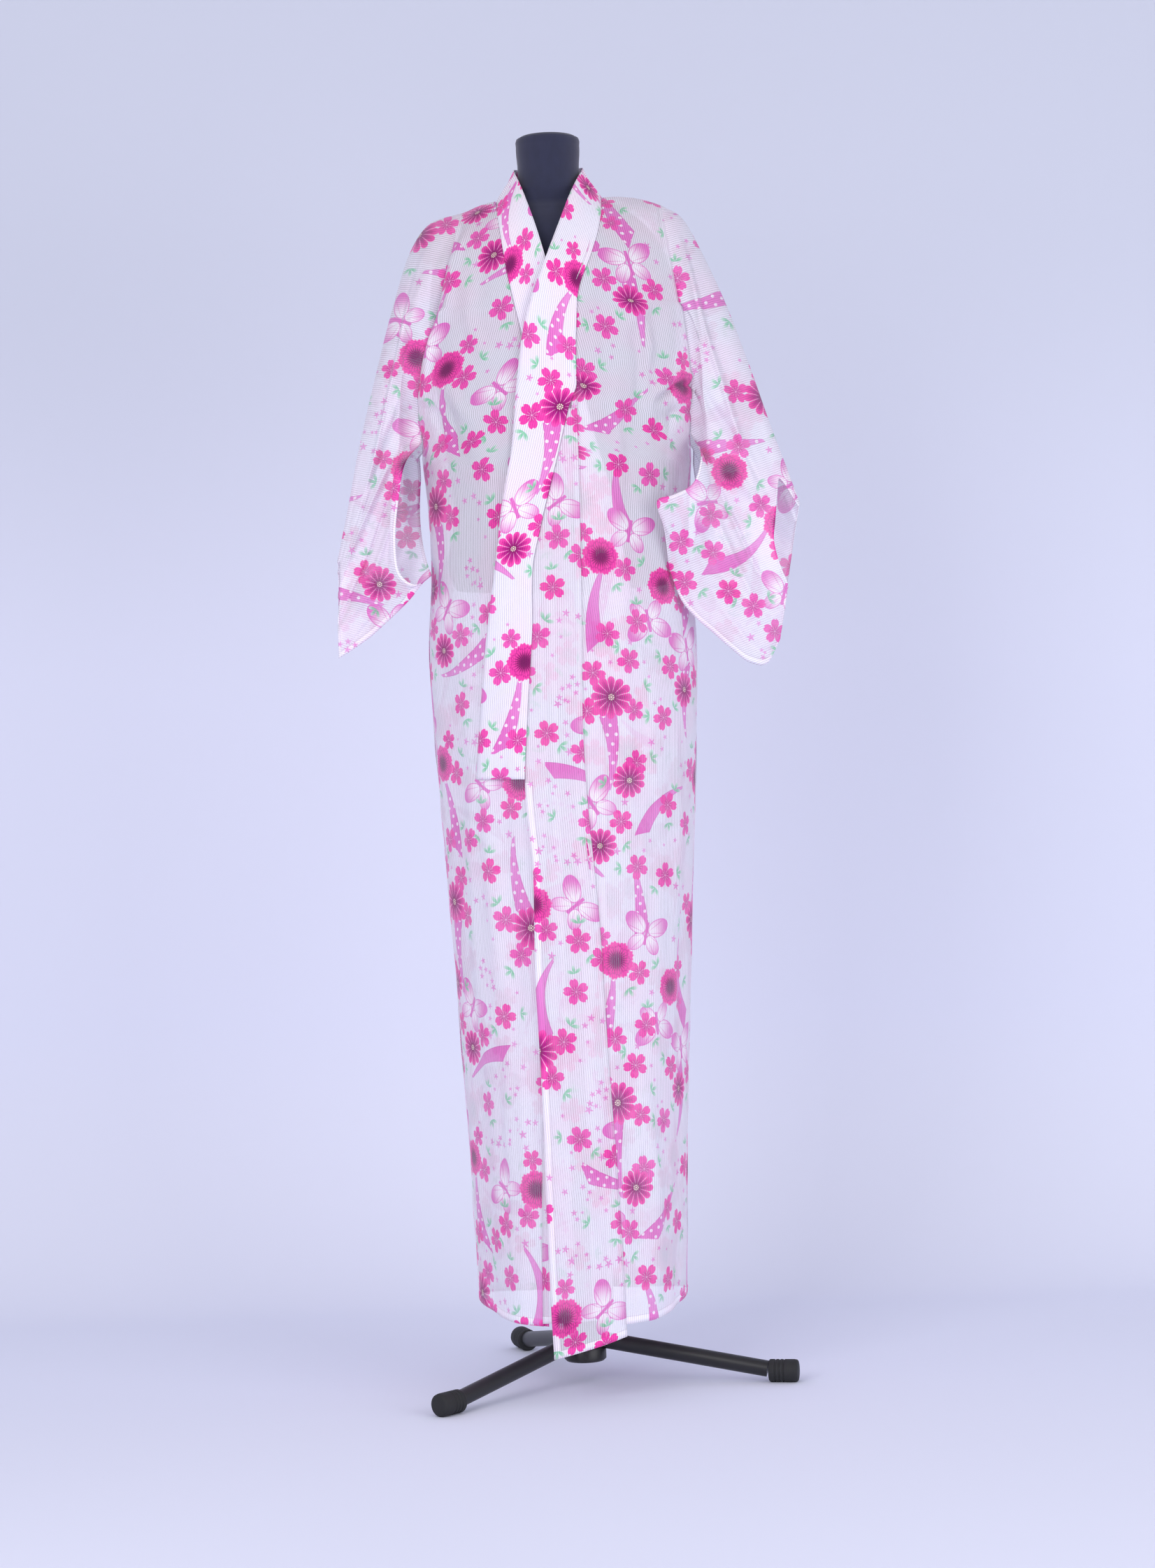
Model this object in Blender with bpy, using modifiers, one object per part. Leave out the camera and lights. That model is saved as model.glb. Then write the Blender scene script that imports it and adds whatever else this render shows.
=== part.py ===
"""Cotton yukata robe on a black dress form with a tripod stand.

Metres, +Z up, the wearer faces -Y, and the wearer's left is +X. Each cut-and-sewn piece of the
robe is a thin sheet worked out from section tables, given its thickness by a Solidify modifier.
"""

import math

import bmesh
import bpy
import numpy as np
from mathutils import Quaternion, Vector

COLLECTION = "yukata_robe_on_dress_form"
WALL = 0.0012  # thickness of every cloth wall
SEAM = 0.0004  # gap between two pieces at a seam
LAYER = 0.006  # how far the over front lies outside the under front
FRONT, BACK = -1.0, 1.0  # signs of y
LEFT, RIGHT = 1.0, -1.0  # the wearer's sides, as signs of x

# Body rings: height, half width, depth in front of the axis, depth behind it.
BODY_RINGS = (
    (0.05, 0.145, 0.182, 0.168),
    (0.30, 0.153, 0.176, 0.164),
    (0.60, 0.168, 0.164, 0.158),
    (0.85, 0.182, 0.156, 0.150),
    (1.02, 0.190, 0.150, 0.142),
    (1.22, 0.184, 0.138, 0.130),
    (1.33, 0.193, 0.132, 0.126),
    (1.42, 0.212, 0.128, 0.124),
    (1.52, 0.216, 0.126, 0.120),
    (1.80, 0.216, 0.120, 0.116),
)
SPRING = 1.52  # height where the cloth starts to turn over the shoulder
UNDERARM = 1.345  # bottom of the seam that holds the sleeve
# Shoulder ridge of each side: distance from the axis, height.
RIDGE = {
    LEFT: ((0.0, 1.690), (0.070, 1.6885), (0.100, 1.6890), (0.134, 1.6840), (0.165, 1.672), (0.216, 1.640)),
    RIGHT: ((0.0, 1.690), (0.070, 1.6885), (0.100, 1.6825), (0.121, 1.674), (0.150, 1.665), (0.216, 1.640)),
}
# Seam to the sleeve on each side: height (at the ridge: SHOULDER_TOP), distance from the axis.
SHOULDER_TOP = 1.70
ARMSCYE = {
    LEFT: ((1.345, 0.186), (1.40, 0.190), (1.47, 0.185), (1.54, 0.176), (1.62, 0.166), (1.70, 0.158)),
    RIGHT: ((1.345, 0.188), (1.40, 0.194), (1.47, 0.176), (1.54, 0.158), (1.62, 0.140), (1.70, 0.124)),
}
# Edge that the collar is sewn to, on the front panel above the overlap: height, distance.
NECK_EDGE = {
    LEFT: ((1.40, 0.030), (1.484, 0.032), (1.543, 0.038), (1.593, 0.056), (1.640, 0.069), (1.70, 0.077)),
    RIGHT: ((1.40, 0.030), (1.484, 0.044), (1.543, 0.057), (1.593, 0.065), (1.640, 0.071), (1.70, 0.077)),
}
# Seam between the front panel and its overlap: height, distance from the axis.
OVERLAP_SEAM = ((0.05, 0.057), (0.22, 0.054), (0.44, 0.045), (0.65, 0.038), (0.90, 0.024), (1.125, 0.028),
                (1.40, 0.030))
# Outer edge of the overlap past the axis, free below the collar's end: height, distance.
OVERLAP_EDGE = ((0.05, 0.038), (0.185, 0.042), (0.44, 0.046), (0.60, 0.050), (0.73, 0.049), (0.859, 0.056),
                (0.952, 0.050), (1.069, 0.040), (1.165, 0.035), (1.213, 0.024), (1.318, -0.004),
                (1.375, -0.018))
OVERLAP_TOP = 1.375  # the overlap tapers out under the collar here
COLLAR_END = 0.859
# Free edge of the collar: height of its sewn edge, its own height, distance past the axis.
COLLAR_BELOW = (
    (0.859, 0.861, 0.1260),
    (0.952, 0.954, 0.1170),
    (1.069, 1.069, 0.1040),
    (1.165, 1.165, 0.0890),
    (1.250, 1.252, 0.0765),
)
COLLAR_FREE = {
    LEFT: COLLAR_BELOW + (
        (1.318, 1.325, 0.0620),
        (1.400, 1.420, 0.0515),
        (1.484, 1.515, 0.0340),
        (1.543, 1.588, 0.0070),
        (1.593, 1.638, -0.0115),
        (1.640, 1.685, -0.0290),
        (1.700, 1.735, -0.0500),
    ),
    RIGHT: COLLAR_BELOW + (
        (1.318, 1.325, 0.0560),
        (1.400, 1.420, 0.0350),
        (1.484, 1.515, 0.0120),
        (1.543, 1.588, -0.0070),
        (1.593, 1.638, -0.0200),
        (1.640, 1.685, -0.0340),
        (1.700, 1.735, -0.0500),
    ),
}
# Free edge beside the neck: its height, y.
COLLAR_DEPTH = ((1.515, -0.1280), (1.588, -0.1120), (1.638, -0.0860), (1.685, -0.0560), (1.712, -0.0330),
                (1.735, -0.0060))
# Collar round the neck: share of the way from shoulder to centre back, x, y, z of its free edge.
COLLAR_NECK = (
    (0.0, 0.0505, -0.006, 1.7350),
    (0.3, 0.0520, 0.022, 1.7400),
    (0.6, 0.0430, 0.050, 1.7430),
    (1.0, 0.0000, 0.071, 1.7440),
)
BACK_NECK_TURN = 120.0  # degrees round the shoulder where the centre back of the neck lies
# Hem: how much higher the side hangs than the middle, and the heights of the middle.
HEM = 0.108
HEM_SIDE_RISE = 0.018
OVERLAP_HEM = {LEFT: (0.092, 0.064), RIGHT: (0.112, 0.118)}  # at the seam and at the free edge
# Large folds of the skirt: side angle in degrees from the front, width in degrees, outward depth,
# lowest and highest height.
FOLDS = (
    (38, 7, 0.0050, 0.05, 1.05),
    (62, 8, -0.0050, 0.05, 0.80),
    (-36, 8, 0.0045, 0.05, 0.85),
    (-60, 9, -0.0050, 0.10, 1.10),
    (34, 7, -0.0050, 1.30, 1.47),
    (-30, 8, 0.0040, 1.10, 1.46),
    (128, 10, 0.0060, 0.05, 1.10),
    (152, 9, -0.0050, 0.05, 1.30),
    (-130, 10, 0.0060, 0.05, 1.00),
    (-155, 9, -0.0050, 0.05, 1.25),
)
# Sleeve outlines: share along the arm, ridge distance, ridge height, bottom distance, bottom height,
# bottom y, half depth.
SLEEVE_PATH = {
    RIGHT: (
        (0.00, 0.124, 1.674, 0.181, 1.153, -0.090, 0.060),
        (0.14, 0.172, 1.660, 0.196, 1.140, -0.080, 0.058),
        (0.26, 0.199, 1.624, 0.210, 1.124, -0.070, 0.054),
        (0.42, 0.230, 1.535, 0.230, 1.106, -0.055, 0.046),
        (0.58, 0.259, 1.432, 0.252, 1.088, -0.040, 0.038),
        (0.74, 0.284, 1.335, 0.275, 1.070, -0.030, 0.030),
        (0.88, 0.301, 1.255, 0.300, 1.054, -0.022, 0.024),
        (1.00, 0.318, 1.182, 0.320, 1.043, -0.015, 0.016),
    ),
    LEFT: (
        (0.00, 0.158, 1.676, 0.152, 1.150, -0.100, 0.060),
        (0.14, 0.190, 1.656, 0.168, 1.106, -0.092, 0.058),
        (0.26, 0.212, 1.615, 0.187, 1.082, -0.084, 0.054),
        (0.42, 0.246, 1.536, 0.212, 1.060, -0.070, 0.048),
        (0.58, 0.277, 1.447, 0.238, 1.037, -0.055, 0.042),
        (0.74, 0.304, 1.362, 0.264, 1.018, -0.042, 0.036),
        (0.88, 0.326, 1.297, 0.290, 1.017, -0.030, 0.030),
        (1.00, 0.344, 1.243, 0.309, 1.050, -0.020, 0.020),
    ),
}
HEM_TURN = 0.003  # half thickness of a sleeve's bottom seam
SLEEVE_SPREAD = 0.045  # how much further out a sleeve's inner side is at the wrist than at the armscye
SLEEVE_ROOM = 0.012  # how far a sleeve lies outside the body below the underarm
# Middle of the sleeve's open edge beside the body, front then back: distance, y, height.
FURI_SAG = {
    RIGHT: ((0.168, -0.120, 1.250), (0.225, 0.050, 1.230)),
    LEFT: ((0.150, -0.135, 1.240), (0.225, 0.050, 1.220)),
}
# Sleeve folds: place across (0 ridge, 1 bottom), width, outward depth, share along at the middle.
SLEEVE_FOLDS = ((0.30, 0.07, 0.007, 0.55), (0.52, 0.08, -0.007, 0.45), (0.74, 0.07, 0.006, 0.60))

# Dress form rings: height, half width, half depth.
FORM_RINGS = (
    (1.135, 0.150, 0.098),
    (1.150, 0.157, 0.104),
    (1.240, 0.150, 0.100),
    (1.350, 0.160, 0.108),
    (1.450, 0.172, 0.112),
    (1.540, 0.176, 0.102),
    (1.600, 0.166, 0.086),
    (1.635, 0.148, 0.070),
    (1.6585, 0.126, 0.056),
    (1.6738, 0.104, 0.045),
    (1.6850, 0.0806, 0.038),
    (1.6895, 0.060, 0.039),
    (1.703, 0.047, 0.042),
    (1.730, 0.0440, 0.043),
    (1.765, 0.0455, 0.044),
    (1.776, 0.0445, 0.043),
    (1.780, 0.0405, 0.039),
)
TOUCH = 0.0003  # gap between two hard pieces that meet
POLE_RADIUS = 0.0125
HUB_RADIUS, HUB_LOW, HUB_HIGH = 0.030, 0.030, 0.090
LEG_RADIUS, LEG_ANGLES = 0.0115, (-11.0, 109.0, 229.0)
LEG_INNER, LEG_OUTER = (0.0304, 0.058), (0.262, 0.0185)  # radius from the axis and height of its ends
CAP_RADIUS, CAP_LENGTH, CAP_SIDES = 0.0160, 0.042, 24

ROWS_FRONT = 20  # rows below the shoulder turn
TURNS = (8, 18, 28, 38, 48, 58, 68, 78, 88, 95, 102, 108, 113, 117, 120, 130, 141, 152, 163, 173)  # degrees
CREST = 8  # the row of TURNS nearest the ridge
COLUMNS = 9  # points across a body panel
STATIONS = 12  # loops along a sleeve


def smooth(table, at, column):
    """A smooth curve through one column of a table, read at these values of its first column."""
    knots = np.array([row[0] for row in table], float)
    values = np.array([row[column] for row in table], float)
    slopes = np.gradient(values, knots)
    at = np.clip(np.asarray(at, float), knots[0], knots[-1])
    i = np.clip(np.searchsorted(knots, at) - 1, 0, len(knots) - 2)
    span = knots[i + 1] - knots[i]
    t = (at - knots[i]) / span
    return (
        (2 * t**3 - 3 * t**2 + 1) * values[i]
        + (t**3 - 2 * t**2 + t) * span * slopes[i]
        + (3 * t**2 - 2 * t**3) * values[i + 1]
        + (t**3 - t**2) * span * slopes[i + 1]
    )


def ease(low, high, at):
    """0 below low, 1 above high, smooth between."""
    t = np.clip((at - low) / (high - low), 0, 1)
    return t * t * (3 - 2 * t)


def folds_out(angle, height):
    """How far the skirt's folds move the cloth outward at an angle in degrees and a height."""
    total = np.zeros(np.broadcast(angle, height).shape)
    for place, width, depth, low, high in FOLDS:
        reach = ease(low - 0.10, low + 0.06, height) * (1 - ease(high - 0.15, high, height))
        total = total + depth * np.exp(-(((angle - place) / width) ** 2)) * reach
    return total


def body_point(x, height, sign, layer=0.0):
    """Point of the body at distance x from the axis, on its front or back, moved out by layer."""
    half = smooth(BODY_RINGS, height, 1)
    depth = smooth(BODY_RINGS, height, 2 if sign == FRONT else 3)
    sine = np.clip(x / half, -1, 1)
    cosine = np.sqrt(1 - sine**2)
    angle = np.degrees(np.arcsin(sine))
    angle = angle if sign == FRONT else np.where(angle < 0, -180 - angle, 180 - angle)
    out = layer + folds_out(angle, height)
    normal = np.stack([sine * depth, sign * cosine * half], -1)
    normal = normal / np.linalg.norm(normal, axis=-1, keepdims=True)
    flat = np.stack([half * sine, sign * depth * cosine], -1) + normal * np.asarray(out)[..., None]
    return np.concatenate([flat, np.asarray(height)[..., None] * np.ones_like(flat[..., :1])], -1)


def over_layer(x, height, side):
    """The over front lies a layer outside the under front, and comes down to it at side and shoulder."""
    if side == RIGHT:
        return np.zeros(np.broadcast(x, height).shape)
    half = smooth(BODY_RINGS, height, 1)
    angle = np.degrees(np.arcsin(np.clip(x / half, -1, 1)))
    return LAYER * (1 - ease(48, 84, angle)) * (1 - ease(1.56, 1.68, height))


def shoulder_point(x, turn, side):
    """Point over the shoulder: x from the axis, turn in degrees from the front (0) to the back (180)."""
    sign = FRONT if turn <= 90 else BACK
    spring = np.full_like(x, SPRING)
    base = body_point(x, spring, sign, over_layer(x * side, spring, side) if sign == FRONT else 0 * x)
    crest = smooth(RIDGE[side], np.abs(x), 1)
    rise = math.sin(math.radians(turn))
    y = base[..., 1] * abs(math.cos(math.radians(turn)))
    return np.stack([x, y, SPRING + (crest - SPRING) * rise], -1)


def front_heights():
    """Heights of the rows below the shoulder turn, closer together near the underarm."""
    return np.unique(np.concatenate([
        np.linspace(HEM, OVERLAP_TOP, ROWS_FRONT), [COLLAR_END, UNDERARM, 1.40, 1.435, 1.48, SPRING],
    ]).round(4))


def panel_row(edge, outer, height, sign, side):
    """One row of a body panel from its centre edge to its outer edge, level but for the hem."""
    half = float(smooth(BODY_RINGS, height, 1))
    angle = np.linspace(math.asin(min(edge / half, 1.0)), math.asin(min(outer / half, 1.0)), COLUMNS)
    heights = height + HEM_SIDE_RISE * np.sin(angle) ** 4 * (1 - ease(HEM, HEM + 0.3, height))
    x = smooth(BODY_RINGS, heights, 1) * np.sin(angle) * side
    layer = over_layer(x * side, heights, side) if sign == FRONT else 0 * x
    return body_point(x, heights, sign, layer)


def outer_edge(height, side):
    """Distance of a body panel's outer edge: the side seam, or the seam to the sleeve above it."""
    if height < UNDERARM:
        return float(smooth(BODY_RINGS, height, 1))
    return float(smooth(ARMSCYE[side], height, 1))


def body_panel(side):
    """Front and back of one side in one length of cloth, from the front hem to the back hem."""
    heights = front_heights()
    gap = SEAM / 2
    front, turned, back = [], [], []
    for height in heights:
        seam = OVERLAP_SEAM if height < 1.40 else NECK_EDGE[side]
        front.append(panel_row(float(smooth(seam, height, 1)) + gap, outer_edge(height, side), height,
                               FRONT, side))
        back.append(panel_row(gap, outer_edge(height, side), height, BACK, side))
    for turn in TURNS:
        rise = SPRING + (SHOULDER_TOP - SPRING) * math.sin(math.radians(turn))
        swing = min(max(turn - 88, 0) / (BACK_NECK_TURN - 88), 1.0)
        edge = float(smooth(NECK_EDGE[side], max(rise, SHOULDER_TOP * (swing > 0)), 1))
        edge = max(edge * math.sqrt(1 - swing**2), gap)
        outer = outer_edge(rise, side)
        turned.append(shoulder_point(np.linspace(edge, outer, COLUMNS) * side, turn, side))
    grid = np.array(front + turned + back[::-1])
    for k in np.flatnonzero(heights < UNDERARM):  # the two outer edges meet at the side seam
        grid[k, -1, 1] -= gap + WALL / 4
        grid[-1 - k, -1, 1] += gap + WALL / 4
    return grid


def overlap_panel(side):
    """The overlap sewn to the front edge of one body panel."""
    heights = front_heights()
    seam_hem, edge_hem = OVERLAP_HEM[side]
    columns = 6
    rows = []
    for height in heights[heights <= OVERLAP_TOP]:
        seam = float(smooth(OVERLAP_SEAM, height, 1)) - SEAM / 2
        edge = -float(smooth(OVERLAP_EDGE, height, 1)) + (SEAM / 2 if height >= COLLAR_END else 0.0)
        x = np.linspace(seam, edge, columns) * side
        drop = np.linspace(seam_hem, edge_hem, columns) - HEM
        level = height + drop * (1 - ease(HEM, HEM + 0.30, height))
        layer = LAYER if side == LEFT else 0.0
        rows.append(body_point(x, level, FRONT, np.full(columns, layer)))
    return np.array(rows)


def collar_front(point, side, columns):
    """A row of the collar in front, from its sewn edge at this point to its free edge."""
    free_z = float(smooth(COLLAR_FREE[side], point[2], 1))
    free_x = -side * float(smooth(COLLAR_FREE[side], point[2], 2))
    share = np.linspace(0, 1, columns)
    x = point[0] - side * SEAM + share * (free_x - point[0])
    z = point[2] + share * (free_z - point[2])
    layer = LAYER if side == LEFT else 0.0
    skin = body_point(x, np.minimum(z, SPRING), FRONT, np.full(columns, layer))[:, 1]
    beside = float(smooth(COLLAR_DEPTH, free_z, 1)) - layer * (free_z < 1.6)
    straight = point[1] + share * (beside - point[1])
    mix = ease(1.44, 1.56, point[2])
    y = (point[1] + skin - skin[0]) * (1 - mix) + straight * mix
    return np.stack([x, y, z], -1)


def collar_band(panels, overlaps):
    """The collar, from the over front's square end round the neck to the under front's end."""
    columns = 5
    heights = front_heights()
    low = heights[heights <= OVERLAP_TOP]
    first = int(np.searchsorted(heights, 1.40))
    crest = len(heights) + CREST
    halves = []
    for side in (LEFT, RIGHT):
        sewn = [overlaps[side][k, -1] for k in np.flatnonzero(low >= COLLAR_END)]
        sewn += list(panels[side][first:crest + 1, 0])
        rows = [collar_front(point, side, columns) for point in sewn]
        nape = [p for p in panels[side][crest + 1:, 0] if p[0] * side > SEAM]
        for k, point in enumerate(nape, 1):
            along = k / (len(nape) + 1)
            free = np.array([float(smooth(COLLAR_NECK, along, c)) for c in (1, 2, 3)]) * (side, 1, 1)
            start = point + np.array([-side * SEAM, -SEAM, SEAM])
            rows.append(start + np.linspace(0, 1, columns)[:, None] * (free - start))
        halves.append(rows)
    centre = panels[LEFT][crest + 1 + len(nape), 0] * (0, 1, 1) + np.array([0.0, -SEAM, SEAM])
    free = np.array(COLLAR_NECK[-1][1:])
    middle = centre + np.linspace(0, 1, columns)[:, None] * (free - centre)
    over, under = halves
    return np.array(over + [middle] + under[::-1])


def clear_of_body(points, side, along):
    """Keeps sleeve points beyond the armscye above the underarm, and below it outside the body."""
    out = points.copy()
    z = out[..., 2]
    above = ease(UNDERARM - 0.02, UNDERARM + 0.03, z)
    least = smooth(ARMSCYE[side], z, 1) + SEAM + SLEEVE_SPREAD * along
    out[..., 0] += side * above * (np.maximum(out[..., 0] * side, least) - out[..., 0] * side)
    room = SLEEVE_ROOM * (1 - ease(UNDERARM - 0.015, UNDERARM, z))
    half = smooth(BODY_RINGS, z, 1) + room
    depth = np.where(out[..., 1] < 0, smooth(BODY_RINGS, z, 2), smooth(BODY_RINGS, z, 3)) + room
    reach = np.sqrt((out[..., 0] / half) ** 2 + (out[..., 1] / depth) ** 2)
    push = np.where((reach < 1) & (z < UNDERARM - 0.004), 1 / np.maximum(reach, 0.2), 1.0)
    out[..., :2] *= push[..., None]
    return out


def edge_normals(panel):
    """Outward directions along a body panel's outer edge."""
    down = np.gradient(panel[:, -1], axis=0)
    across = panel[:, -1] - panel[:, -2]
    out = np.cross(across, down)
    out *= np.sign(out[len(out) // 2, 2])
    return out / np.linalg.norm(out, axis=1, keepdims=True)


def sleeve(side, panel):
    """A hanging bag: loops from the armscye to the wrist, each closed round ridge and bottom."""
    path = SLEEVE_PATH[side]
    arm = int(np.searchsorted(front_heights(), UNDERARM))
    armscye = panel[arm:len(panel) - arm, -1].copy()
    armscye += WALL * edge_normals(panel)[arm:len(panel) - arm]
    armscye[:, 0] += side * (SEAM + WALL)
    count = 7
    share = np.linspace(0, 1, count + 1)[:-1, None]
    bottom = np.array([path[0][3] * side, path[0][5], path[0][4]])

    def hanging(top, sag):
        middle = np.array([sag[0] * side, sag[1], sag[2]])
        return (1 - share) ** 2 * bottom + 2 * share * (1 - share) * middle + share**2 * top

    front = hanging(armscye[0], FURI_SAG[side][0])
    back = hanging(armscye[-1], FURI_SAG[side][1])[:0:-1]
    loop = clear_of_body(np.concatenate([front, armscye, back]), side, 0.0)
    loop[count:count + len(armscye)] = armscye
    top = count + len(armscye) // 2
    across = np.concatenate([np.linspace(1, 0, top + 1), np.linspace(0, 1, len(loop) - top + 1)[1:-1]])
    facing = np.where(np.arange(len(loop)) <= top, FRONT, BACK)
    rows = [loop]
    for u in np.linspace(0, 1, STATIONS)[1:]:
        ridge = np.array([smooth(path, u, 1) * side, -0.012 * u, smooth(path, u, 2)])
        low = np.array([smooth(path, u, 3) * side, smooth(path, u, 5), smooth(path, u, 4)])
        depth = float(smooth(path, u, 6))
        belly = np.sqrt(np.clip(1 - (2 * across**0.9 - 1) ** 2, 0, 1)) * (1 - 0.45 * across)
        target = ridge + across[:, None] * (low - ridge)
        target[:, 1] += facing * np.where(across < 1, np.maximum(depth * belly, HEM_TURN), 0)
        for place, width, out, middle in SLEEVE_FOLDS:
            wave = out * np.exp(-(((across - place) / width) ** 2)) * math.exp(-(((u - middle) / 0.35) ** 2))
            target[:, 1] += facing * wave
        carried = loop + (1 - across)[:, None] * (ridge - loop[top]) + across[:, None] * (low - loop[0])
        mix = float(ease(0.0, 0.45, u))
        rows.append(clear_of_body(carried * (1 - mix) + target * mix, side, u))
    return np.array(rows)


def quads(rows, columns, loop=False):
    """Faces of a grid with this many rows and columns, closed along its columns if loop."""
    last = columns if loop else columns - 1
    return [
        (r * columns + c, r * columns + (c + 1) % columns, (r + 1) * columns + (c + 1) % columns,
         (r + 1) * columns + c)
        for r in range(rows - 1) for c in range(last)
    ]


def material(name, colour, roughness, metallic=0.0):
    """A Principled BSDF of one colour."""
    made = bpy.data.materials.new(name)
    made.use_nodes = True
    shader = made.node_tree.nodes["Principled BSDF"]
    shader.inputs["Base Color"].default_value = (*colour, 1.0)
    shader.inputs["Roughness"].default_value = roughness
    shader.inputs["Metallic"].default_value = metallic
    return made


def place(obj, collection, finish):
    """Puts an object in the collection with its own material."""
    for other in list(obj.users_collection):
        other.objects.unlink(obj)
    collection.objects.link(obj)
    obj.data.materials.clear()
    obj.data.materials.append(finish)
    return obj


def cloth(name, grid, collection, colour, outward, loop=False, inward_wall=False):
    """A sheet from a grid of points, facing the way that outward gives, with a wall outside it."""
    rows, columns = grid.shape[:2]
    mesh = bpy.data.meshes.new(name)
    mesh.from_pydata(grid.reshape(-1, 3).tolist(), [], quads(rows, columns, loop))
    middle = mesh.polygons[(rows // 2) * (columns if loop else columns - 1) + columns // 4]
    if outward(np.array(middle.center)) @ np.array(middle.normal) < 0:
        mesh.flip_normals()
    obj = place(bpy.data.objects.new(name, mesh), collection, material(name, colour, 0.85))
    wall = obj.modifiers.new("wall", "SOLIDIFY")
    wall.thickness = WALL
    wall.offset = -1.0 if inward_wall else 1.0
    return obj


def from_axis(centre):
    """Outward direction for a piece that goes round the axis."""
    return np.array([centre[0], centre[1], 0.0])


def upward(_centre):
    """Outward direction at the top of the shoulder."""
    return np.array([0.0, 0.0, 1.0])


def from_sleeve(side):
    """Outward direction for a sleeve: away from the middle of the bag."""
    middle = np.array([side * 0.24, -0.02, 1.30])
    return lambda centre: (centre - middle) * (0.2, 1.0, 0.2)


def dress_form(collection):
    """Torso and neck block in one turned-and-flattened solid."""
    around = 28
    heights = np.concatenate([
        np.linspace(a[0], b[0], 2)[:-1] for a, b in zip(FORM_RINGS[:-1], FORM_RINGS[1:])
    ] + [[FORM_RINGS[-1][0]]])
    angle = np.linspace(0, 2 * math.pi, around, endpoint=False)
    shape = bmesh.new()
    rings = []
    for height in heights:
        half, depth = (float(smooth(FORM_RINGS, height, c)) for c in (1, 2))
        square = 1 - 0.12 * math.exp(-((height - 1.60) / 0.08) ** 2)
        x = half * np.sign(np.sin(angle)) * np.abs(np.sin(angle)) ** square
        y = -depth * np.sign(np.cos(angle)) * np.abs(np.cos(angle)) ** square
        rings.append([shape.verts.new((a, b, height)) for a, b in zip(x, y)])
    for low, high in zip(rings[:-1], rings[1:]):
        for k in range(around):
            shape.faces.new((low[k], low[(k + 1) % around], high[(k + 1) % around], high[k]))
    shape.faces.new(rings[0][::-1])
    shape.faces.new(rings[-1])
    bmesh.ops.recalc_face_normals(shape, faces=shape.faces)
    mesh = bpy.data.meshes.new("form_torso")
    shape.to_mesh(mesh)
    shape.free()
    return place(bpy.data.objects.new("form_torso", mesh), collection,
                 material("form_torso", (0.012, 0.012, 0.016), 0.8))


def cylinder(name, radius, start, end, collection, finish, sides=24, bevel=0.0):
    """A closed round bar from start to end, with one of its flats facing down if it lies level."""
    start, end = Vector(start), Vector(end)
    bpy.ops.mesh.primitive_cylinder_add(vertices=sides, radius=radius, depth=(end - start).length)
    obj = bpy.context.object
    obj.name = obj.data.name = name
    half_flat = Quaternion((0.0, 0.0, 1.0), math.pi / sides)
    obj.location = (start + end) / 2
    obj.rotation_euler = ((end - start).to_track_quat("Z", "Y") @ half_flat).to_euler()
    if bevel:
        edge = obj.modifiers.new("edge", "BEVEL")
        edge.width = bevel
        edge.segments = 1
        edge.limit_method = "ANGLE"
    return place(obj, collection, finish)


def stand(collection):
    """Pole, hub, three legs and their rubber caps, which lie on the floor on one flat each."""
    black = ((0.014, 0.014, 0.017), 0.35)
    cylinder("pole", POLE_RADIUS, (0, 0, HUB_HIGH + TOUCH), (0, 0, FORM_RINGS[0][0] - TOUCH), collection,
             material("pole", *black, 0.6))
    cylinder("hub", HUB_RADIUS, (0, 0, HUB_LOW), (0, 0, HUB_HIGH), collection,
             material("hub", *black), bevel=0.003)
    (near, high), (far, low) = LEG_INNER, LEG_OUTER
    slope = math.atan2(high - low, far - near)
    lean = math.sin(slope) * LEG_RADIUS  # how far a leg's square end leans past its middle
    cap_height = CAP_RADIUS * math.cos(math.pi / CAP_SIDES)
    for index, degrees in enumerate(LEG_ANGLES, 1):
        way = Vector((math.cos(math.radians(degrees)), math.sin(math.radians(degrees)), 0.0))
        up = Vector((0.0, 0.0, 1.0))
        cylinder(f"leg_{index}", LEG_RADIUS, way * (near + lean) + up * high, way * far + up * low,
                 collection, material(f"leg_{index}", *black, 0.6), sides=20)
        cap = way * (far + lean + TOUCH) + up * cap_height
        cylinder(f"foot_{index}", CAP_RADIUS, cap, cap + way * CAP_LENGTH, collection,
                 material(f"foot_{index}", (0.02, 0.02, 0.022), 0.9), CAP_SIDES, bevel=0.002)


def box_middle():
    """Middle of everything's box, seen from above."""
    bpy.context.view_layer.update()
    seen = bpy.context.evaluated_depsgraph_get()
    low, high = np.full(2, np.inf), np.full(2, -np.inf)
    for obj in bpy.data.objects:
        if obj.type == "MESH":
            shown = obj.evaluated_get(seen)
            flat = np.array([(shown.matrix_world @ v.co)[:2] for v in shown.data.vertices])
            low, high = np.minimum(low, flat.min(axis=0)), np.maximum(high, flat.max(axis=0))
    return (low + high) / 2


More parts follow.
